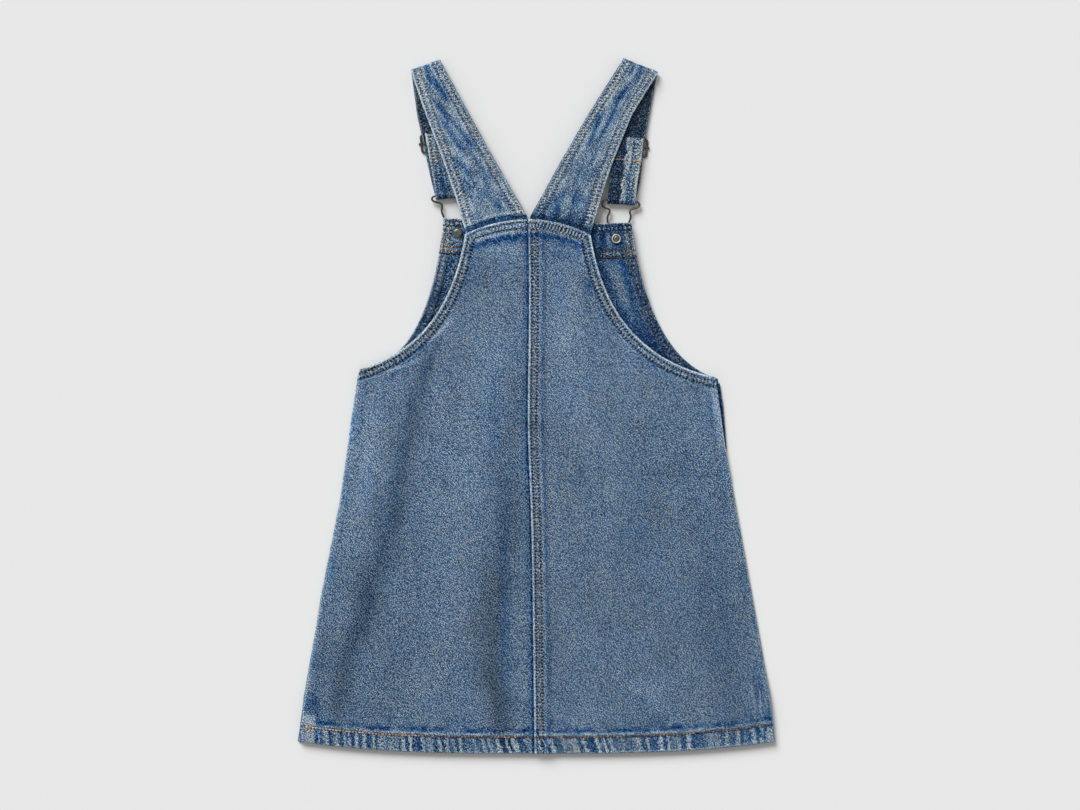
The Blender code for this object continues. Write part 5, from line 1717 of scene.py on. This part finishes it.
class Finish:
    def __init__(self, material):
        self.material = material
        self.material.use_nodes = True
        self.tree = self.material.node_tree
        self.tree.nodes.clear()

    def add(self, kind, settings, sockets):
        # settings first, then each socket gets its value or its link
        node = self.tree.nodes.new(kind)
        for label, value in settings.items():
            if label == "stops":
                ramp = node.color_ramp
                while len(ramp.elements) < len(value):
                    ramp.elements.new(0.5)
                for element, (position, colour) in zip(ramp.elements, value):
                    element.position, element.color = position, colour
            else:
                setattr(node, label, value)
        for label, value in sockets.items():
            if isinstance(value, Amount):
                self.tree.links.new(value.socket, node.inputs[label])
            else:
                node.inputs[label].default_value = value
        return Node(self, node)

    def mark(self, label, output="Fac"):
        return self.add("ShaderNodeAttribute", {"attribute_name": label}, {}).out(output)

    def noise(self, place, size, detail=2.0, roughness=0.5):
        sockets = {"Vector": place, "Scale": 1.0 / (size * mm), "Detail": detail, "Roughness": roughness}
        return self.add("ShaderNodeTexNoise", {"noise_dimensions": "3D"}, sockets).out("Fac")

    def chance(self, a, b, c):
        # one even random number from 0 to 1 for each set of whole numbers
        place = self.add("ShaderNodeCombineXYZ", {}, {0: a, 1: b, 2: c}).out("Vector")
        return self.add("ShaderNodeTexWhiteNoise", {"noise_dimensions": "3D"}, {0: place}).out("Value")

    def times(self, vector, factors):
        sockets = {0: vector, 1: factors}
        return self.add("ShaderNodeVectorMath", {"operation": "MULTIPLY"}, sockets).out("Vector")

    def scaled(self, vector, amount):
        sockets = {0: vector, "Scale": amount}
        return self.add("ShaderNodeVectorMath", {"operation": "SCALE"}, sockets).out("Vector")

    def mixed(self, kind, share, a, b):
        # the sockets of a Mix node for vectors and for colours lie at different places
        first, result = {"VECTOR": (4, 1), "RGBA": (6, 2)}[kind]
        sockets = {0: share, first: a, first + 1: b}
        return self.add("ShaderNodeMix", {"data_type": kind}, sockets).out(result)

    def bumped(self, strength, distance, height):
        sockets = {"Strength": strength, "Distance": distance * mm, "Height": height}
        return self.add("ShaderNodeBump", {}, sockets).out("Normal")

    def finished(self, kind, sockets):
        shader = self.add(kind, {}, sockets).out("BSDF")
        self.add("ShaderNodeOutputMaterial", {}, {"Surface": shader})
        return self.material


denimFinish = {
    "warp": 0.6, "pick": 0.66, "plain": 0.386, "lot": 0.06, "thread": 0.12, "weft": 0.08,
    "speck": 0.8, "speckEven": 0.3, "speckDepth": 0.9, "speckGreyAndShade": 0.35, "speckSeed": 7.0,
    "mottle": 1.1, "mottleDepth": 0.08, "slubDepth": 0.06, "patchDepth": 0.12,
    "blotch": 1.7, "blotchDepth": 1.05,
    "soot": 0.12, "greyAndShadeWarm": 0.12, "worn": 0.44, "wornWarm": 0.09, "warmFine": 0.5, "warmWide": 0.2,
    "holeAndShade": 0.4, "holeAndShadeShare": 0.36, "rowCalm": 0.35, "deep": 0.25, "blue": (0.48, 0.89, 1.32),
    "rungEdge": 0.8, "rungRough": 1.6, "rungPale": 0.75, "cast": (0.725, 0.92, 1.065),
    "roughness": 0.86, "bump": 0.5, "bumpDepth": 0.16,
    "stops": (
        (0.0, dye(10, 20, 38)), (0.1, dye(24, 39, 61)), (0.19, dye(40, 57, 79)), (0.27, dye(54, 73, 95)),
        (0.343, dye(66, 87, 112)), (0.413, dye(79, 101, 126)), (0.483, dye(93, 114, 139)),
        (0.553, dye(109, 129, 152)), (0.63, dye(128, 145, 165)), (0.765, dye(172, 177, 184)),
        (0.925, dye(218, 214, 210)), (1.0, dye(236, 231, 226)),
    ),
}


def denimMaterial(name, shift=0.0, tint=(1.0, 1.0, 1.0)):
    # warp-faced twill: blue warp floats over three picks and dips under one, where the pale weft shows
    p = denimFinish
    f = Finish(bpy.data.materials.new(name))
    grain = f.mark("grain", "Vector")
    parts = f.add("ShaderNodeSeparateXYZ", {}, {"Vector": grain})
    layer = parts.out("Z") / mm
    warp, pick = parts.out("X") / (p["warp"] * mm), parts.out("Y") / (p["pick"] * mm)
    end = warp.whole()
    overFour = (pick - end) / 4.0
    at = overFour.rest()
    lot = f.chance(end, overFour.whole(), layer)
    own = f.chance(end + 71.0, pick.whole(), layer)
    weft = at < 0.25
    mottle = f.noise(grain, p["mottle"], 1.0, 0.6)
    slub = f.noise(f.times(grain, (1.0, 0.1, 1.0)), 1.5, 1.0)
    patch = f.noise(f.times(grain, (1.0, 0.45, 1.0)), 26.0, 3.0, 0.55)
    # the neutral dark mark is partly the cloth's own greyed colour and partly painted shade: under edges, in
    # grooves and beside the rows
    worn, deep, soot = f.mark("worn"), f.mark("deep"), f.mark("soot")
    rows, along = f.mark("rows"), f.mark("along")
    # dark spots along the rows: needle holes, and painted shade of the threads and their grooves
    holeAndShade = ((along * (math.tau / stitchShape["pitch"])).wave() + p["holeAndShadeShare"]) * rows
    blotch = f.noise(grain, p["blotch"], 1.0) - 0.5
    rungs = f.mark("rungs")
    rung = (f.mark("beat") * math.tau).wave() * p["rungEdge"] + blotch * p["rungRough"] + 0.5
    rung = rung.clamped() * 2.0 - 1.0
    worn = worn + rung.atLeast(0.0) * rungs * p["rungPale"]
    deep = deep + (rung * -1.0).atLeast(0.0) * rungs
    across = (parts.out("X") / (p["speck"] * mm)).whole()
    up = (parts.out("Y") / (p["speck"] * mm)).whole()
    here, right, over = (
        f.chance(across + i, up + j, layer + p["speckSeed"]) - 0.5
        for i, j in ((0.0, 0.0), (1.0, 0.0), (0.0, 1.0)))
    light = p["plain"] + shift + (lot - 0.5) * p["lot"] + (own - 0.5) * p["thread"]
    light = light + (weft - 0.25) * p["weft"] + (mottle - 0.5) * p["mottleDepth"]
    speck = here - (right + over) * p["speckEven"]
    calm = 1.0 - rows.clamped() * p["rowCalm"]
    light = light + speck * (soot * p["speckGreyAndShade"] + p["speckDepth"]) * calm
    light = light + (slub - 0.5) * p["slubDepth"] + (patch - 0.5) * p["patchDepth"]
    light = light + worn * p["worn"] - deep * p["deep"] - holeAndShade * p["holeAndShade"] - rows * 0.05
    light = light - soot * p["soot"] + soot * blotch * p["blotchDepth"]
    colour = f.add("ShaderNodeValToRGB", {"stops": p["stops"]}, {"Fac": light.clamped()}).out("Color")
    warm = (f.noise(grain, 1.9, 1.0) - 0.5) * p["warmFine"]
    warm = warm + (f.noise(grain, 34.0, 2.0) - 0.5) * p["warmWide"]
    warm = warm + soot.clamped() * p["greyAndShadeWarm"] + (worn - 0.2).clamped() * p["wornWarm"]
    cast = f.add("ShaderNodeCombineXYZ", {}, {0: 1.0 + warm, 1: 1.0, 2: 1.0 - warm}).out("Vector")
    colour = f.times(colour, cast)
    colour = f.mixed("VECTOR", deep.clamped(), colour, f.times(colour, p["blue"]))
    colour = f.times(colour, tuple(a * b for a, b in zip(tint, p["cast"])))
    thread = 1.0 - (warp.rest() * 2.0 - 1.0) ** 2.0
    height = thread * 0.5 + lot * 0.25 + mottle * 0.5 - weft * 0.3 + rung * rungs * 1.2
    return f.finished("ShaderNodeBsdfPrincipled", {
        "Base Color": f.scaled(colour, f.mark("tone")), "Roughness": p["roughness"],
        "Specular IOR Level": 0.1, "Normal": f.bumped(p["bump"], p["bumpDepth"], height)})


def threadMaterial():
    # twisted cotton-wrapped thread, from grey-brown to orange
    f = Finish(bpy.data.materials.new("cottonThread"))
    place = f.add("ShaderNodeTexCoord", {}, {}).out("Object")
    colour = f.add("ShaderNodeValToRGB", {"stops": (
        (0.0, dye(34, 30, 32)), (0.28, dye(96, 78, 68)), (0.5, dye(172, 142, 114)),
        (0.72, dye(226, 194, 156)), (0.88, dye(202, 144, 86)), (1.0, dye(200, 126, 60)),
    )}, {"Fac": f.mark("hue")}).out("Color")
    ply = f.noise(place, 0.5, 2.0)
    return f.finished("ShaderNodeBsdfPrincipled", {
        "Base Color": f.scaled(colour, 0.62 + ply * 0.76), "Roughness": 0.7, "Specular IOR Level": 0.3,
        "Normal": f.bumped(0.5, 0.1, ply)})


def metalMaterial(name, colour, rub):
    # dark antique nickel, a little uneven, brighter where it is rubbed
    f = Finish(bpy.data.materials.new(name))
    place = f.add("ShaderNodeTexCoord", {}, {}).out("Object")
    cloudy, fine = f.noise(place, 5.0, 3.0), f.noise(place, 0.7, 3.0)
    return f.finished("ShaderNodeBsdfPrincipled", {
        "Base Color": f.mixed("RGBA", (cloudy * 1.4 - 0.2).clamped() * rub, colour, dye(176, 172, 166)),
        "Metallic": 1.0, "Roughness": 0.26 + fine * 0.22, "Normal": f.bumped(0.35, 0.06, fine)})


denimFace = denimMaterial("washedDenim")
# the same denim shifted darker: painted shade for the pieces that lie inside under the back
denimInShade = denimMaterial("washedDenimInShade", -0.08, (0.94, 0.96, 0.97))
threadFinish = threadMaterial()
nickel = metalMaterial("antiqueNickel", dye(48, 44, 41), 0.2)
darkNickel = metalMaterial("darkCap", dye(66, 67, 70), 0.3)
# painted shade: a dark finish for the right tack's hollow and pin end
hollowShadeNickel = metalMaterial("paintedHollowShade", dye(38, 36, 34), 0.2)
paleNickel = metalMaterial("rubbedNickel", dye(204, 201, 196), 0.6)

insideKeys = ("facing", "turn_left", "turn_right", "placket")
for key, piece in pieces.items():
    piece.data.materials.clear()
    if key.startswith("stitch"):
        piece.data.materials.append(threadFinish)
    elif key.split("_")[0] in ("slide", "hook", "button"):
        piece.data.materials.append(nickel)
    elif key.startswith("tack"):
        piece.data.materials.append(darkNickel if key.endswith("left") else paleNickel)
        # the hollow and the pin's end take the dark finish, as painted shade in the recess
        if key.endswith("right"):
            piece.data.materials.append(hollowShadeNickel)
            low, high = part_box(key)
            middle = ((low[0] + high[0]) / 2, (low[1] + high[1]) / 2)
            for face in piece.data.polygons:
                away = math.hypot(face.center.x - middle[0], face.center.y - middle[1]) / mm
                inRing = tackPiece["dot"] < away < tackPiece["radius"] - tackPiece["ring"]
                face.material_index = 1 if inRing or away < tackPiece["pin"] else 0
    else:
        piece.data.materials.append(denimInShade if key in insideKeys else denimFace)
print("finishes")


# what each piece stands for

standsFor = {
    "front": "front_panel", "facing": "bib_facing", "turn_left": "armhole_turn_left",
    "turn_right": "armhole_turn_right", "placket": "side_placket",
}
for key, piece in pieces.items():
    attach(piece, "root")
    if key.startswith("stitch"):
        continue
    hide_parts(standsFor.get(key, key))
    key.split("_")[0] in ("slide", "hook", "button", "tack")


# floor, light and camera

stageLook = {
    "floor": 0.806, "drop": 0.3, "sunHeight": 35.0, "sunSide": -28.0, "sunSpread": 34.0, "sunShare": 0.6,
    "skyShare": 0.4, "skyColour": (1.0, 0.975, 0.94), "sunColour": (1.0, 1.017, 1.04),
    "camera": (0.0035, 0.0005, 2.55), "lens": 85.0,
}


def makeStage():
    p = stageLook
    bpy.ops.object.select_all(action="DESELECT")
    bpy.ops.mesh.primitive_plane_add(size=9.0, location=(0, 0, -p["drop"] * mm))
    floor = bpy.context.object
    floor.name = "floor"
    f = Finish(bpy.data.materials.new("paleFloor"))
    floor.data.materials.append(f.finished("ShaderNodeBsdfDiffuse", {"Color": (*[p["floor"]] * 3, 1.0)}))

    lamp = bpy.data.lights.new("softKey", "SUN")
    lamp.angle = math.radians(p["sunSpread"])
    lamp.color = p["sunColour"]
    up, side = math.radians(p["sunHeight"]), math.radians(p["sunSide"])
    lamp.energy = p["sunShare"] * math.pi / math.sin(up)
    toLight = Vector((math.sin(side) * math.cos(up), math.cos(side) * math.cos(up), math.sin(up)))
    linked("softKey", lamp).rotation_euler = toLight.to_track_quat("Z", "Y").to_euler()

    # the sky lights the cloth, and shows as the plain floor's colour
    bpy.context.scene.world = bpy.data.worlds.new("studio")
    f = Finish(bpy.context.scene.world)
    path = f.add("ShaderNodeLightPath", {}, {})
    seen = path.out("Is Camera Ray").atLeast(path.out("Is Glossy Ray"))
    seen = seen.atLeast(path.out("Is Transmission Ray"))
    strength = {"Value": seen, "To Min": p["skyShare"], "To Max": p["floor"]}
    sky = f.add("ShaderNodeBackground", {}, {
        "Color": f.mixed("RGBA", seen, (*p["skyColour"], 1.0), (1.0, 1.0, 1.0, 1.0)),
        "Strength": f.add("ShaderNodeMapRange", {}, strength).out("Result")})
    f.add("ShaderNodeOutputWorld", {}, {"Surface": sky.out("Background")})

    view = bpy.data.cameras.new("camera")
    view.lens = p["lens"]
    view.sensor_width = 36.0
    camera = linked("camera", view)
    camera.location = p["camera"]
    bpy.context.scene.camera = camera
    bpy.context.scene.view_settings.view_transform = "Standard"


makeStage()
print("floor, light and camera")
